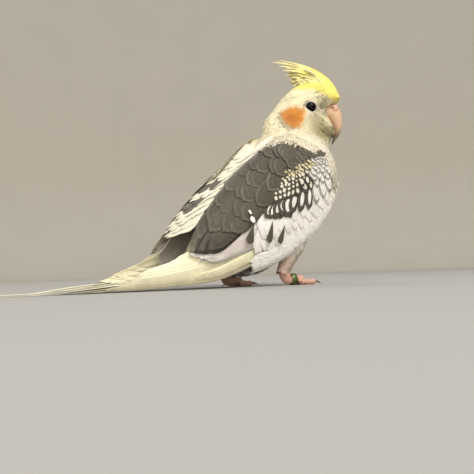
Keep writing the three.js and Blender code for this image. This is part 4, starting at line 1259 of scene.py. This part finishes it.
# Where body feathers lap over a wing, from the breast over the shoulder to the back.
WING_BORDER = [(8.3, 62), (8.6, 70), (8.76, 80), (8.8, 96), (8.8, 112), (8.74, 127), (8.42, 138), (7.9, 146),
               (7.25, 152), (6.4, 158)]
# The wing's bed under its feathers: row along, lowest and highest degrees round.
WING_BED = np.array([
    [2.8, 84, 118], [3.2, 76, 126], [4.0, 72, 136], [5.1, 70, 143], [5.6, 67, 144], [6.2, 64, 144],
                     [6.8, 64, 143],
    [7.3, 65, 141], [7.7, 68, 137], [8.0, 76, 130], [8.25, 92, 116],
])


def covert_places(line, share):
    """Root and tip places of a covert row between two of the lines."""
    i = min(int(line), len(COVERT_LINES) - 2)
    t = line - i
    return [place_at(COVERT_LINES[i][end], share) * (1 - t) + place_at(COVERT_LINES[i + 1][end], share) * t
            for end in ("root", "tip")]


VaneGroup = namedtuple("VaneGroup", "name share root tip wide lift tilt shape camber rows")


def wing_rows(side):
    """All the vanes of a wing, as groups."""
    share = np.linspace(0, 1, INNER_COUNT)
    column = np.arange(INNER_COUNT) % 4
    start, low, high = (0, 1.4 - 0.55 * column, 2.9 - 0.85 * column)
    if side == RIGHT:
        start, low, high = (13, 0.1 - 0.15 * column, 1.0 - 0.2 * column)
    root = place_at(INNER_EDGE, share) + np.stack([0 * share, start + 7 * column], 1)
    yield VaneGroup("inner", share, root, root - (0.92, -1.5), 9.0, np.stack([low, high], 1), -0.14,
                    ROUND_SHAPE,
                    0.06, 12)
    for name, count, wide, lift, tilt, shape, roots, tips in FLIGHT_TIERS:
        share = np.linspace(0, 1, count)
        loose = name.startswith("scapulars")
        nudge = np.stack([0.13 * np.sin(5 * share + len(name)), 1.8 * np.sin(9 * share + 2 * len(name))],
                         1) * loose
        yield VaneGroup(name, share, place_at(roots, share) + nudge, place_at(tips, share) + nudge, wide,
                        lift, tilt,
                        shape, 0.03, 12 if loose else 20)
    for index, (name, line, count, wide, kept, low, high) in enumerate(COVERT_ROWS):
        share = (np.arange(count) + (0.5 if index % 2 else 0.15)) / count
        if name == "pale_front":
            share = share[share > 0.5]
        if name == "band":
            share = share[share < (0.95 if line < 3.6 else 0.8)]
        root, tip = covert_places(line, share)
        yield VaneGroup(name, share, tip + (root - tip) * kept, tip, wide, (low, high), 0.08, ROUND_SHAPE,
                        0.05, 12)


# Where the oval of a spotted covert lies: ranges of its place along the feather, half length and half width.
SPOT_RANGES = {
    "large_spots": ((0.66, 0.72), (0.16, 0.21), (0.38, 0.5)),
    "spots": ((0.76, 0.84), (0.09, 0.13), (0.3, 0.6)),
    "yellow": ((0.8, 0.88), (0.1, 0.15), (0.5, 0.9)),
}
NO_SPOT = (0.5, 0.1, 0.1)


def wing_colours(group, side, colours, rng):
    """Ground, mark, strengths of edge, spot and root, and the spot's place for each vane of a group."""
    n, name, share = len(group.share), group.name, group.share
    get = lambda key: np.tile(getattr(colours, key), (n, 1))
    vary = lambda low, high: rng.uniform(low, high, n)[:, None]
    marks, spot = np.zeros((n, 3)), np.tile(NO_SPOT, (n, 1))
    ground, mark = get("white"), get("dark")
    yellow = colours.face * 0.62 + colours.olive_and_throat_shade * 0.3
    if name in ("primaries", "clipped"):
        ground, mark = get("primrose"), get("cream") * 0.8
        marks[:, 0] = 0.25
        if side == LEFT:
            ground[share < 0.35] = colours.dark * 0.5
    elif name == "inner":
        ground, mark = get("white") * 0.5 + get("face") * 0.45, get("dark") * 1.1
        if side == LEFT:
            bar = (np.abs(share - 0.4) < 0.05) | (np.abs(share - 0.62) < 0.06) | (rng.random(n) < 0.08)
            ground[bar] = colours.dark * 1.5
            marks[:, 0] = np.where(bar, 0.0, 0.22)
    elif name == "secondaries":
        ground, mark = get("blush"), get("white")
        marks[:, 0] = 0.6
        ground = ground * vary(0.88, 1.04)
    elif name.startswith(("tertials", "scapulars")):
        ground, mark = get("dark") * vary(0.94, 1.1), get("middle")
        ground = ground * vary(0.9, 1.15)
        marks[:, 0] = rng.uniform(0.1, 0.5, n)
        if name == "tertials":
            mark[:2], marks[:2, 0] = colours.dark * 0.25, 0.9
        if side == LEFT:
            ground, mark = get("cream"), get("dark")
            marks[:, 0], marks[:, 2] = 0.55, np.where(rng.random(n) < 0.3, 0.75, 0.0)
    elif name in ("pale", "pale_front"):
        mark = get("blush") * 0.85
        marks[:, 0] = 0.12
    elif name in SPOT_RANGES:
        ground, mark = get("dark"), get("white")
        marks[:, 1] = 1.0
        if name == "spots":
            mark = mark * 0.6 + yellow * 0.4
        if name == "yellow":
            ground, mark = ground * 1.05, yellow * vary(0.85, 1.15)
        spot = np.stack([rng.uniform(*limits, n) for limits in SPOT_RANGES[name]], 1)
        front = share > rng.uniform(0.66, 0.8, n)
        ground[front], mark[front], marks[front] = colours.white, colours.dark, (0.85, 0, 0)
    else:
        ground, mark = (get("cream"), get("middle")) if side == LEFT else (get("dark") * 1.03, get("middle"))
        marks[:, 0] = 0.3 if side == LEFT else 0.35
    return ground * vary(0.95, 1.05), mark, marks, spot


class VaneCoat:
    """Gathers the closed vanes of one piece, with a map cell and colours for each."""

    def __init__(self, cells, turned):
        self.cells, self.turned, self.start, self.shapes, self.layers = cells, turned, 0, [], []

    def add(self, top, bottom, paints, spread=TIP_SPREAD):
        """Adds vanes; each paint has a row for each vane or for each point."""
        count = len(top)
        points, faces, local, bake = sheets(top, bottom, cell_patches(count, self.start, self.cells), spread)
        self.start += count
        self.shapes.append((points, *(f[:, ::-1] if self.turned else f for f in faces)))
        paints = (np.clip(value, 0, 1) for value in paints)
        size = len(points) // count
        self.layers.append((local, bake, *(np.repeat(v, size if len(v) == count else 1, 0) for v in paints)))

    def mesh(self, name, lowest=0.0):
        points, faces = join_shapes(self.shapes)
        points[:, 2] = np.maximum(points[:, 2], lowest)
        local, bake, *paints = (np.concatenate(values) for values in zip(*self.layers))
        return build_mesh(name, points, faces, {"OFBake": bake, "Vane": local}, dict(zip(PAINTS, paints)))


class COCKATIEL_OT_wings(Step, Operator):
    """Lays the flight feathers, scapulars and coverts of both folded wings"""

    bl_idname = "cockatiel.wings"
    bl_label = "Wings"

    def build(self, sizes, colours):
        for name, side in SIDES:
            rng = np.random.default_rng(SEEDS["wing"] + side)
            place, thick = wing_place(side), sizes.vane_thick / MM
            groups = list(wing_rows(side))
            coat = VaneCoat(sum(len(group.share) for group in groups) + len(WING_MARKS) + 2, side == RIGHT)
            for group in groups:
                n = len(group.share)
                tip = group.root + (group.tip - group.root) * (1 + rng.uniform(-0.04, 0.03, n))[:, None]
                lift = np.broadcast_to(np.array(group.lift, float), (n, 2)) + rng.uniform(-0.1, 0.1, (n, 1))
                wide = group.wide * rng.uniform(0.94, 1.05, n)
                vanes = lay_vanes(place, group.root, tip, wide, lift, group.tilt, group.shape,
                                  rows=group.rows,
                                  thick=thick, camber=group.camber, outward=side)
                coat.add(*vanes, wing_colours(group, side, colours, rng))
            for root, tip, wide, high, shape, key, gain in WING_MARKS if side == RIGHT else ():
                vanes = lay_vanes(place, [root], [tip], [wide], [(high - 0.8, high)], 0.0, shape, rows=10,
                                  thick=thick,
                                  outward=side)
                ground = getattr(colours, key)[None] * gain
                coat.add(*vanes, (ground, ground, np.zeros((1, 3)), np.array([NO_SPOT])))
            self.bed(coat, place, side, colours)
            add_piece(f"wing_feathers_{name}", coat.mesh(f"wing_feathers_{name}"),
                      material_once("wing_vanes", vane_material), "plumage_wing", f"wing_{name}")

    def bed(self, coat, place, side, colours):
        """A closed sheet under the feathers, so that none of them shows a gap."""
        u = np.linspace(WING_BED[0, 0], WING_BED[-1, 0], 60)
        low, high = (np.interp(u, WING_BED[:, 0], WING_BED[:, k]) for k in (1, 2))
        share = np.linspace(0, 1, 40)[None]
        angle = low[:, None] + (high - low)[:, None] * share
        rows = np.broadcast_to(u[:, None], angle.shape)
        sink = 1.6 * np.abs(2 * share - 1) ** 3
        rise = 0.6 + 1.8 * smooth_step(80, 110, angle) * smooth_step(2.8, 4.2, rows) - sink
        dark = smooth_step(0, 14, angle - 78 - 18 * smooth_step(7.5, 4, rows)) * smooth_step(2.8, 3.6, rows)
        dark = dark * (1.0 if side == RIGHT else 0.15)
        ground = blend(np.tile(colours.blush * 0.9, (angle.size, 1)), colours.dark, dark.ravel())
        ground, none = np.tile(ground, (2, 1)), np.zeros((2 * angle.size, 3))
        coat.add(place(rows, angle, rise)[None], place(rows, angle, -1.2 - 0.3 * sink)[None],
                 (ground, ground, none, none), spread=1.0)


# Tail feathers from the outermost, lowest pair: length, width, offset, fan; then the central pair.
TAIL_FEATHERS = [
    (62, 8, 5.2, 0.022), (74, 8.4, 5, 0.018), (84, 8.8, 4.9, 0.012), (91, 9, 4.7, 0.006), (96, 9, 4.6, 0),
    (140, 5, -0.9, 0.006), (149, 5, 0.9, -0.006),
]
# Rows of tail coverts: place along, length, number, lift at root and tip.
TAIL_COVERTS = [(14, 30, 5, 3.6, 5.2), (6, 30, 5, 5.4, 6.8), (-3, 28, 6, 6.2, 8.2)]
TAIL_CELLS = 60
TAIL_STEP = 0.9
TAIL_LOWEST = 0.25


def tail_lift(index, s):
    total = np.full_like(s, TAIL_LOWEST)
    for length, *_ in TAIL_FEATHERS[:index]:
        total += TAIL_STEP * (1 - smooth_step(length - 6, length + 12, s))
    return total


class COCKATIEL_OT_tail(Step, Operator):
    """Lays the tail feathers and their coverts"""

    bl_idname = "cockatiel.tail"
    bl_label = "Tail"

    def build(self, sizes, colours):
        rng = np.random.default_rng(SEEDS["tail"])
        thick = sizes.vane_thick / MM
        coat = VaneCoat(TAIL_CELLS, True)
        primrose, smoke, cream = colours.primrose[None], colours.smoke[None], colours.cream[None]
        looks = {4: (cream, 0.55), 5: (primrose * 0.97, 0.15), 6: (primrose * 0.97, 0.15)}
        for index, (length, wide, out, fan) in enumerate(TAIL_FEATHERS):
            for side in (LEFT, RIGHT) if index < 5 else (LEFT,):
                place = lambda s, y, lift: tail_place(s, y, lift + tail_lift(index, np.asarray(s, float)))
                vanes = lay_vanes(place, [(4.0, side * (out + fan * 4))],
                                  [(length, side * (out + fan * length))], [wide],
                                  [(0.0, 0.0)], 0.0, LINE_SHAPE if length > 100 else FULL_SHAPE, rows=34,
                                  thick=thick,
                                  camber=0.015, outward=-1, rounding=0.03)
                ground, edge = looks.get(index, (primrose * 0.98, 0.3))
                coat.add(*vanes, (ground, smoke, np.array([[edge, 0, 0]])))
        for s, long, places, low, high in TAIL_COVERTS:
            for y in (np.arange(places) - (places - 1) / 2) * 15 / places:
                drop = 0.05 * y * y
                vanes = lay_vanes(tail_place, [(s, y * 0.8)],
                                  [(s + long * rng.uniform(0.9, 1.05), y * 1.15)], [6.2],
                                  [(low - drop, high - drop)], 0.0, SHORT_SHAPE, thick=thick, camber=0.08,
                                  outward=-1)
                coat.add(*vanes, (cream * rng.uniform(0.94, 1.04), primrose, np.array([[0.4, 0, 0]])))
        add_piece("tail_feathers", coat.mesh("tail_feathers", lowest=0.05),
                  material_once("wing_vanes", vane_material), "plumage_tail", "tail")


# The crest from its highest feather to its hindmost: share, root forward, two guides and the tip, as
# forward and height.
CREST = np.array([
    [0.00, 20.3, 15.6, 139.6, 0.5, 144.4, -19.0, 149.3],
    [0.12, 19.0, 14.0, 138.8, -0.5, 143.9, -23.1, 147.0],
    [0.30, 15.5, 10.5, 138.6, -2.5, 142.6, -17.0, 143.4],
    [0.50, 10.5, 6.0, 138.0, -4.0, 140.8, -14.0, 140.2],
    [0.70, 6.0, 2.5, 136.6, -5.0, 138.2, -13.0, 136.8],
    [0.85, 2.0, -1.5, 134.8, -6.0, 135.6, -10.5, 133.6],
    [1.00, -2.5, -4.5, 133.2, -7.0, 133.0, -9.5, 130.6],
])
CROWN = np.array([[-16, 122], [-10, 127], [-4, 129.3], [0, 130.6], [5, 131.4], [10.5, 130.4], [15.5, 127.4],
                  [19.2, 123.6], [21, 121.4]])
CREST_HALF = 9.0


def crown_height(forward, right):
    return np.interp(forward, CROWN[:, 0], CROWN[:, 1]) - 0.06 * right ** 2


def crest_lines(share, right, rows):
    """Lines of crest feathers, (feathers, rows, 3): raised at the middle, laid on the crown at the sides."""
    value = [np.interp(share, CREST[:, 0], CREST[:, k]) for k in range(1, 8)]
    raised = 1 - smooth_step(0.28, 1, np.abs(right) / CREST_HALF)
    points = [head_point(value[0], right, crown_height(value[0], right) - 0.5)]
    for forward, z, narrow, clear in ((value[1], value[2], 0.95, 1.2), (value[3], value[4], 0.8, 1.6),
                                      (value[5], value[6], 0.6, 2.0)):
        laid = crown_height(forward, right * narrow) + clear
        points.append(head_point(forward, right * narrow,
                                 laid + (z - 0.05 * (right * narrow) ** 2 - laid) * raised))
    t = np.linspace(0, 1, rows)[None, :, None]
    a, b, c, d = (p[:, None, :] for p in points)
    return (1 - t) ** 3 * a + 3 * (1 - t) ** 2 * t * b + 3 * (1 - t) * t ** 2 * c + t ** 3 * d


class COCKATIEL_OT_crest(Step, Operator):
    """Raises the long feathers of the crest"""

    bl_idname = "cockatiel.crest"
    bl_label = "Crest"

    def build(self, sizes, colours):
        rng = np.random.default_rng(SEEDS["crest"])
        centre, sides, rows, columns = CREST_MIDDLE, CREST_SIDES, CREST_ROWS, CREST_COLUMNS
        count = centre + sides
        share = np.concatenate([np.linspace(0, 1, centre) ** 0.8, rng.uniform(0, 1, sides) ** 0.8])
        right = rng.uniform(-1, 1, count) * np.interp(share, [0, 0.3, 1], [2.0, 3.4, 4.2])
        farthest = np.interp(share[centre:], [0, 0.25, 1], [5.5, 8.0, 8.4])
        beside = rng.choice([-1, 1], sides) * rng.uniform(2.6, farthest)
        right[centre:] = beside
        right[:3] = (0.5, -0.4, 0.2)
        line = crest_lines(share, right, rows)
        cut = np.where(share < 0.2, rng.uniform(0.45, 0.92, count), rng.uniform(0.75, 1.02, count))
        cut[[0, 2, 9, 11]] = 1.0
        cut[centre:] = rng.uniform(0.45, 0.85, sides) * (1 - 0.035 * np.abs(beside))
        t = np.linspace(0, 1, rows)
        line = np.stack([np.stack([np.interp(t * c, t, axis) for axis in one.T], -1) for c,
                         one in zip(cut, line)])
        line = line + rng.normal(0, 0.35, (count, 1, 3)) * (t ** 1.5)[None, :, None]
        normal = unit(np.cross(unit(np.gradient(line, axis=1)), TO_RIGHT))
        half = np.interp(t, [0, 0.25, 0.6, 0.8, 0.92, 1], [0.85, 1, 0.9, 0.5, 0.22, 0.06])
        roll = (np.radians(rng.uniform(35, 72, count)) * np.sign(right + 1e-6))[:, None, None]
        normal = normal * np.sign((normal * UP).sum(-1, keepdims=True) + 1e-9)
        width = np.cos(roll) * TO_RIGHT - np.sin(roll) * normal
        normal = np.cos(roll) * normal + np.sin(roll) * TO_RIGHT
        wide = sizes.crest_wide / MM * rng.uniform(0.8, 1.3, count) * np.interp(share, [0, 0.2, 1],
                                                                                [0.7, 1, 1])
        reach = np.linspace(-1, 1, columns) * half[None, :, None] * wide[:, None, None]
        curl = 0.5 * reach ** 2 / wide[:, None, None]
        face = line[:, :, None] + reach[..., None] * width[:, :, None] - normal[:, :, None] * curl[..., None]
        thick = (0.14 * (1 - 0.6 * t))[None, :, None, None] * normal[:, :, None]
        streak = rng.random(count) < 0.1
        ground = colours.lemon * rng.uniform(0.93, 1.03, count)[:, None]
        ground[streak] = ground[streak] * 0.8 + colours.olive_and_throat_shade * 0.16
        paler = np.tile(np.repeat(smooth_step(0.55, 1.0, t), columns), 2 * count) * 0.75
        ground = blend(np.repeat(ground, 2 * rows * columns, 0), colours.face, paler)
        coat = VaneCoat(count, True)
        paints = (ground, np.tile(colours.olive_and_throat_shade, (count, 1)), np.tile([0.15, 0, 0], (count, 1)))
        coat.add(face + thick, face - thick, paints, spread=1.0)
        mesh = coat.mesh("crest_feathers")
        sideways = (right / CREST_HALF)[:, None, None] * TO_RIGHT
        normals = np.concatenate([np.repeat(0.5 * normal + 0.45 * UP + 0.5 * sideways, columns, 1),
                                  np.repeat(0.35 * UP - 0.5 * normal, columns, 1)], 1)
        set_normals(mesh, normals.reshape(-1, 3))
        add_piece("crest_feathers", mesh, material_once("wing_vanes", vane_material), "plumage_crest",
                  "crest")


def bill_shape(rows, steps, count):
    f = along(rows, np.linspace(0, len(rows) - 1, steps))[:, None]
    a, lean = turns(count)[None], np.radians(f[..., 2])
    rise = np.cos(a) * f[..., 3]
    return closed_grid(head_point(f[..., 0] - np.sin(lean) * rise, np.sin(a) * f[..., 4],
                                  f[..., 1] + np.cos(lean) * rise))


class COCKATIEL_OT_bill(Step, Operator):
    """Builds the two halves of the bill"""

    bl_idname = "cockatiel.bill"
    bl_label = "Bill"

    def build(self, sizes, colours):
        for name, rows, edges, most in (("upper", UPPER_BILL, (103, 95.5), 0.92),
                                        ("lower", LOWER_BILL, (103, 105), 0.4)):
            points, *faces = bill_shape(rows, 60, 48)
            # Painted shade: the upper bill darkens towards its tip, and the lower bill darkens along its top
            # edge.
            tint = blend(colours.bill, colours.bill_tip, smooth_step(*edges, points[:, 2]) * most)
            tinted_piece(f"bill_{name}", points, faces, tint, material_once("horn", horn_material), "bill",
                         f"{name}_bill")


def ball_shape(centre, radius, steps=24, count=32):
    a, b = np.linspace(0.04, math.pi - 0.04, steps)[:, None], turns(count)[None]
    radius = np.broadcast_to(radius, 3)
    grid = np.stack([np.sin(a) * np.cos(b), np.sin(a) * np.sin(b), np.cos(a) + 0 * b], -1) * radius + centre
    return closed_grid(grid, np.asarray(centre) + np.array([[0, 0, radius[2]], [0, 0, -radius[2]]]))


class COCKATIEL_OT_cere(Step, Operator):
    """Builds the bare skin over the bill with its two nostrils"""

    bl_idname = "cockatiel.cere"
    bl_label = "Cere"

    def build(self, sizes, colours):
        ahead, z, radius = CERE["forward"], CERE["z"], CERE["radius"]
        balls = [ball_shape(head_point(ahead, s * CERE["right"], z), radius) for s in (-1, 1)]
        balls.append(ball_shape(head_point(ahead - 2.4, 0.0, z - 1.0), radius + 1.9))
        mesh = remeshed("cere", *join_shapes(balls), voxel=CERE_VOXEL, smoothing=14)
        points = mesh_points(mesh)
        forward, right, high = head_parts(points)
        far = np.hypot(forward - NOSTRIL["forward"], high - NOSTRIL["z"])
        dent = (1 - smooth_step(0.35, 0.95, far)) * (np.abs(right) > 2)
        move_points(mesh, points - (points - head_point(ahead, 0.0, z)) * (dent * 0.2)[:, None])
        tint = blend(colours.bill, colours.cere, smooth_step(111, 114, high))
        # Painted shade: the nostrils are shallow dents painted nearly black.
        paint(mesh, "Tint", blend(tint, colours.bill_tip * 0.2, dent))
        add_piece("cere_skin", mesh, bare_skin_material("cere_skin", 1400, 0.05), "cere", "cere")


# A lid's profile round the opening of the eye: degrees past its edge, and distance from the eye's middle.
LID_PROFILE = np.array([[50, 4.34], [46, 4.5], [34, 4.62], [22, 4.7], [12, 4.74], [4, 4.68], [0, 4.5],
                        [1.5, 4.34]])


class COCKATIEL_OT_eyes(Step, Operator):
    """Builds the eyes and the bare rims of their lids"""

    bl_idname = "cockatiel.eyes"
    bl_label = "Eyes"

    def build(self, sizes, colours):
        material = plain_material("wet_eye", 0.05, 900, 0.3, Specular_IOR_Level=0.14)
        lid = bare_skin_material("lid_skin", 1800, 0.05)
        for name, side in SIDES:
            centre = head_point(EYE["forward"], -side * (EYE["out"] - EYE_SUNK), EYE["z"])
            points, *faces = ball_shape(centre, EYE["radius"], 32, 48)
            tinted_piece(f"eyeball_{name}", points, faces, colours.iris, material, "eye", f"eye_{name}")
            self.rim(name, -side, centre, colours, lid)

    def rim(self, name, side, centre, colours, material):
        """A lid that lies on the eyeball and leaves a round opening."""
        count = 72
        a = turns(count)[:, None]
        turn = np.radians(46.5 + 1.2 * np.cos(2 * a) + LID_PROFILE[:, 0])[..., None]
        radius = (LID_PROFILE[:, 1] * (1 + 0.006 * np.sin(11 * a)))[..., None]
        axis = TO_RIGHT * side * math.cos(0.12) + AHEAD * math.sin(0.12)
        first = unit(np.cross(UP, axis))
        spoke = np.cos(a)[..., None] * first + np.sin(a)[..., None] * np.cross(axis, first)
        grid = radius * (np.cos(turn) * axis + np.sin(turn) * spoke) + centre
        tinted_piece(f"eyelid_{name}", grid.reshape(-1, 3), [loop_faces(*grid.shape[:2])], colours.lid,
                     material, "cere")


TARSUS_RADII = [3.1, 3.3, 3.2, 2.8, 2.5, 2.4, 2.4, 2.4, 2.4]
# Toes: turn from straight ahead, length, radius and the claw's length.
TOES = [(13, 9.5, 1.8, 3.8), (-22, 8, 1.7, 3.6), (131, 8.5, 1.6, 3.6), (-128, 6, 1.6, 3.2)]
# Along a toe: share, height of its middle and its width, in radii.
TOE_ROWS = np.array([[0, 1.3, 1.1], [0.35, 0.95, 1], [0.65, 0.9, 0.85], [0.88, 0.92, 0.95], [1, 0.85, 0.6]])


def tarsus_line(leg, count):
    hock, heel, foot = (np.array(leg[k], float) for k in ("hock", "heel", "foot"))
    return smooth_line([hock + (-0.3, 0, 0.3), heel, heel + (foot - heel) * 0.45, foot], count)


def toe_line(leg, turn, out, high):
    """Points of a toe or claw at distances out from the foot's middle and heights."""
    a = math.radians(-turn if leg["side"] == RIGHT else turn)
    return np.multiply(leg["foot"], (1, 1, 0)) + np.array([math.cos(a), math.sin(a),
                                                           0]) * out[:, None] + UP * high[:, None]


class COCKATIEL_OT_legs(Step, Operator):
    """Builds the bare legs with their toes, and the claws"""

    bl_idname = "cockatiel.legs"
    bl_label = "Legs and claws"

    def build(self, sizes, colours):
        skin = bare_skin_material("foot_skin", 900, 0.18)
        for name, leg in LEGS.items():
            self.leg(name, leg, colours, skin)
            points, faces = join_shapes([self.claw(leg, *toe) for toe in TOES])
            tinted_piece(f"claws_{name}", points, faces, colours.claw, material_once("horn", horn_material),
                         "bill")

    def leg(self, name, leg, colours, material):
        t = np.linspace(0, 1, 22)
        radii = np.interp(np.linspace(0, 1, 40), np.linspace(0, 1, len(TARSUS_RADII)), TARSUS_RADII)
        foot = np.array([*leg["foot"][:2], 1.75])
        shapes = [tube(tarsus_line(leg, 40), radii, 28), ball_shape(foot, (3, 2.85, 1.8))]
        for turn, length, radius, _ in TOES:
            high, wide = (np.interp(t, TOE_ROWS[:, 0], TOE_ROWS[:, k]) * radius for k in (1, 2))
            shapes.append(tube(toe_line(leg, turn, length * t, high), wide * (1 + 0.05 * np.sin(t * 26)), 20))
        mesh = remeshed(f"leg_skin_{name}", *join_shapes(shapes), voxel=LEG_VOXEL, smoothing=2)
        points = mesh_points(mesh)
        points[:, 2] = np.maximum(points[:, 2], GROUND)
        move_points(mesh, points)
        paint(mesh, "Tint", colours.foot * (1 - 0.12 * smooth_step(3, 9, points[:, 2]))[:, None])
        add_piece(f"leg_skin_{name}", mesh, material, "foot_skin", f"tarsus_{name}", f"foot_{name}")

    def claw(self, leg, turn, length, radius, claw):
        t = np.linspace(0, 1, 14)
        width = radius * 0.52 * (1 - t) ** 0.7 + 0.08
        high = np.maximum(radius * 0.95 + 0.9 * t - 2.1 * t ** 2, width + 0.05)
        return tube(toe_line(leg, turn, length - 0.8 + (claw + 0.8) * t, high), width, 12)


BAND = {"at": 0.62, "inner": 2.9, "outer": 3.45, "half": 1.8, "soft": 0.15}


class COCKATIEL_OT_band(Step, Operator):
    """Builds the closed ring on the right leg"""

    bl_idname = "cockatiel.band"
    bl_label = "Leg band"

    def build(self, sizes, colours):
        line = tarsus_line(LEGS["right"], 401)
        at = int(BAND["at"] * 400)
        tangent = unit(line[at + 1] - line[at - 1])
        across = unit(np.cross(UP, tangent))
        inner, outer, half, soft = (BAND[k] for k in ("inner", "outer", "half", "soft"))
        upper = [[outer, half - soft], [outer - soft, half], [inner + soft, half], [inner, half - soft]]
        profile = np.array([*((r, -z) for r, z in reversed(upper)), [outer + 0.03, 0], *upper])
        a = turns(64)[:, None]
        ring = np.cos(a) * across + np.sin(a) * np.cross(tangent, across)
        grid = line[at] + profile[None, :, :1] * ring[:, None] + profile[None, :, 1:] * tangent
        grid[..., 2] = np.maximum(grid[..., 2], GROUND)
        mesh = build_mesh("band_ring", grid.reshape(-1, 3), [loop_faces(*grid.shape[:2])[:, [0, 3, 2, 1]]])
        material = plain_material("band_metal", 0.38, 700, 0.25, tuple(colours.band), 2500, (0.2, 0.03),
                                  Metallic=0.55)
        add_piece("band_ring", mesh, material, "band", "leg_band")


# The camera's place in the bird's millimetres, as read from the photograph.
CAMERA = {"azimuth": -35, "pitch": 2.86, "roll": 1.8, "distance": 440, "across": 20.1, "height": 9,
          "focal": 700 / 474 * 36}
# Lamps: name, place in metres, size, power and colour.
LAMPS = [
    ("key", (0.15, -0.95, 1.35), 0.6, 18.5, (1.0, 0.965, 0.91)),
    ("fill", (-1.2, -0.7, 0.9), 1.2, 6, (0.97, 0.98, 1.0)),
    ("low", (-0.6, -1.3, 0.3), 0.9, 6, (1.0, 0.98, 0.95)),
    ("back", (0.2, 1.2, 1.1), 0.9, 6, (1.0, 0.97, 0.93)),
]
LAMP_AIM = Vector((0.02, 0, 0.07))
ROOM_LIGHT = {"Color": (0.95, 0.97, 1.0, 1), "Strength": 0.68}
STUDIO = {"radius": 2400.0, "corner": 500.0, "height": 3200.0}


class COCKATIEL_OT_stage(Step, Operator):
    """Sets the floor, the backdrop, the lights and the camera"""

    bl_idname = "cockatiel.stage"
    bl_label = "Stage"

    def build(self, sizes, colours):
        self.backdrop(colours)
        self.lights(bpy.context.scene)
        self.camera(bpy.context.scene)

    def backdrop(self, colours):
        radius, corner = STUDIO["radius"], STUDIO["corner"]
        arc = np.radians(np.linspace(-90, 0, 14))
        profile = [(1.0, 0.0), (300.0, 0.0), (1200.0, 0.0)]
        profile += [(radius + corner * math.cos(x), corner + corner * math.sin(x)) for x in arc]
        profile = np.array([*profile, (radius + corner, STUDIO["height"])])
        a = turns(96)
        grid = np.stack([profile[:, :1] * np.cos(a), profile[:, :1] * np.sin(a), profile[:, 1:] + 0 * a], -1)
        faces = [ring_faces(*grid.shape[:2])[0], np.arange(len(a))[None, ::-1]]
        tint = blend(colours.floor, colours.wall,
                     smooth_step(900, 2400, np.hypot(grid[..., 0], grid[..., 1])).ravel())
        mesh = build_mesh("studio", grid.reshape(-1, 3), faces, None, {"Tint": tint})
        piece = bpy.data.objects.new("studio", mesh)
        mesh.materials.append(plain_material("studio_paper", 0.9, 6, 0.04))
        bpy.context.scene.collection.objects.link(piece)

    def lights(self, scene):
        scene.view_settings.view_transform = "Standard"
        world = bpy.data.worlds.new("soft_room")
        world.use_nodes = True
        for label, value in ROOM_LIGHT.items():
            world.node_tree.nodes["Background"].inputs[label].default_value = value
        scene.world = world
        for name, place, size, power, tone in LAMPS:
            data = bpy.data.lights.new(name, "AREA")
            data.size, data.energy, data.color = size, power, tone
            lamp = bpy.data.objects.new(name, data)
            lamp.location = place
            lamp.rotation_euler = (LAMP_AIM - Vector(place)).to_track_quat("-Z", "Y").to_euler()
            scene.collection.objects.link(lamp)

    def camera(self, scene):
        turn, pitch, roll = (math.radians(CAMERA[k]) for k in ("azimuth", "pitch", "roll"))
        level = np.array([-math.sin(turn), math.cos(turn), 0])
        right = np.array([math.cos(turn), math.sin(turn), 0])
        place = -CAMERA["distance"] * level - CAMERA["across"] * right + CAMERA["height"] * UP
        ahead = level * math.cos(pitch) + UP * math.sin(pitch)
        up = -level * math.sin(pitch) + UP * math.cos(pitch)
        axes = Matrix([right * math.cos(roll) - up * math.sin(roll),
                       up * math.cos(roll) + right * math.sin(roll), -ahead])
        data = bpy.data.cameras.new("camera")
        data.sensor_width, data.lens = 36, CAMERA["focal"]
        data.clip_start, data.clip_end = 0.01, 20
        camera = bpy.data.objects.new("camera", data)
        camera.matrix_world = Matrix.Translation(Vector((place + SHIFT) * MM)) @ axes.transposed().to_4x4()
        scene.collection.objects.link(camera)
        scene.camera = camera


class COCKATIEL_PT_panel(Panel):
    """Lists the steps that build the bird"""

    bl_label = "Cockatiel"
    bl_space_type = "VIEW_3D"
    bl_region_type = "UI"
    bl_category = "Cockatiel"

    def draw(self, context):
        for step in STEPS:
            self.layout.operator(step.bl_idname)
        for group in (context.scene.cockatiel_sizes, context.scene.cockatiel_colours):
            for name in group.__annotations__:
                self.layout.prop(group, name)


STEPS = (
    COCKATIEL_OT_stage,
    COCKATIEL_OT_skin,
    COCKATIEL_OT_head_feathers,
    COCKATIEL_OT_body_feathers,
    COCKATIEL_OT_wings,
    COCKATIEL_OT_tail,
    COCKATIEL_OT_crest,
    COCKATIEL_OT_bill,
    COCKATIEL_OT_cere,
    COCKATIEL_OT_eyes,
    COCKATIEL_OT_legs,
    COCKATIEL_OT_band,
)
CLASSES = (CockatielColours, CockatielSizes, *STEPS, COCKATIEL_PT_panel)


def register():
    for item in CLASSES:
        bpy.utils.register_class(item)
    bpy.types.Scene.cockatiel_colours = PointerProperty(type=CockatielColours)
    bpy.types.Scene.cockatiel_sizes = PointerProperty(type=CockatielSizes)


def unregister():
    del bpy.types.Scene.cockatiel_sizes
    del bpy.types.Scene.cockatiel_colours
    for item in reversed(CLASSES):
        bpy.utils.unregister_class(item)


def main():
    register()
    for step in STEPS:
        group, name = step.bl_idname.split(".")
        result = getattr(getattr(bpy.ops, group), name)()
        if result != {"FINISHED"}:
            raise RuntimeError(f"{step.bl_label} did not finish")


if __name__ == "__main__":
    main()
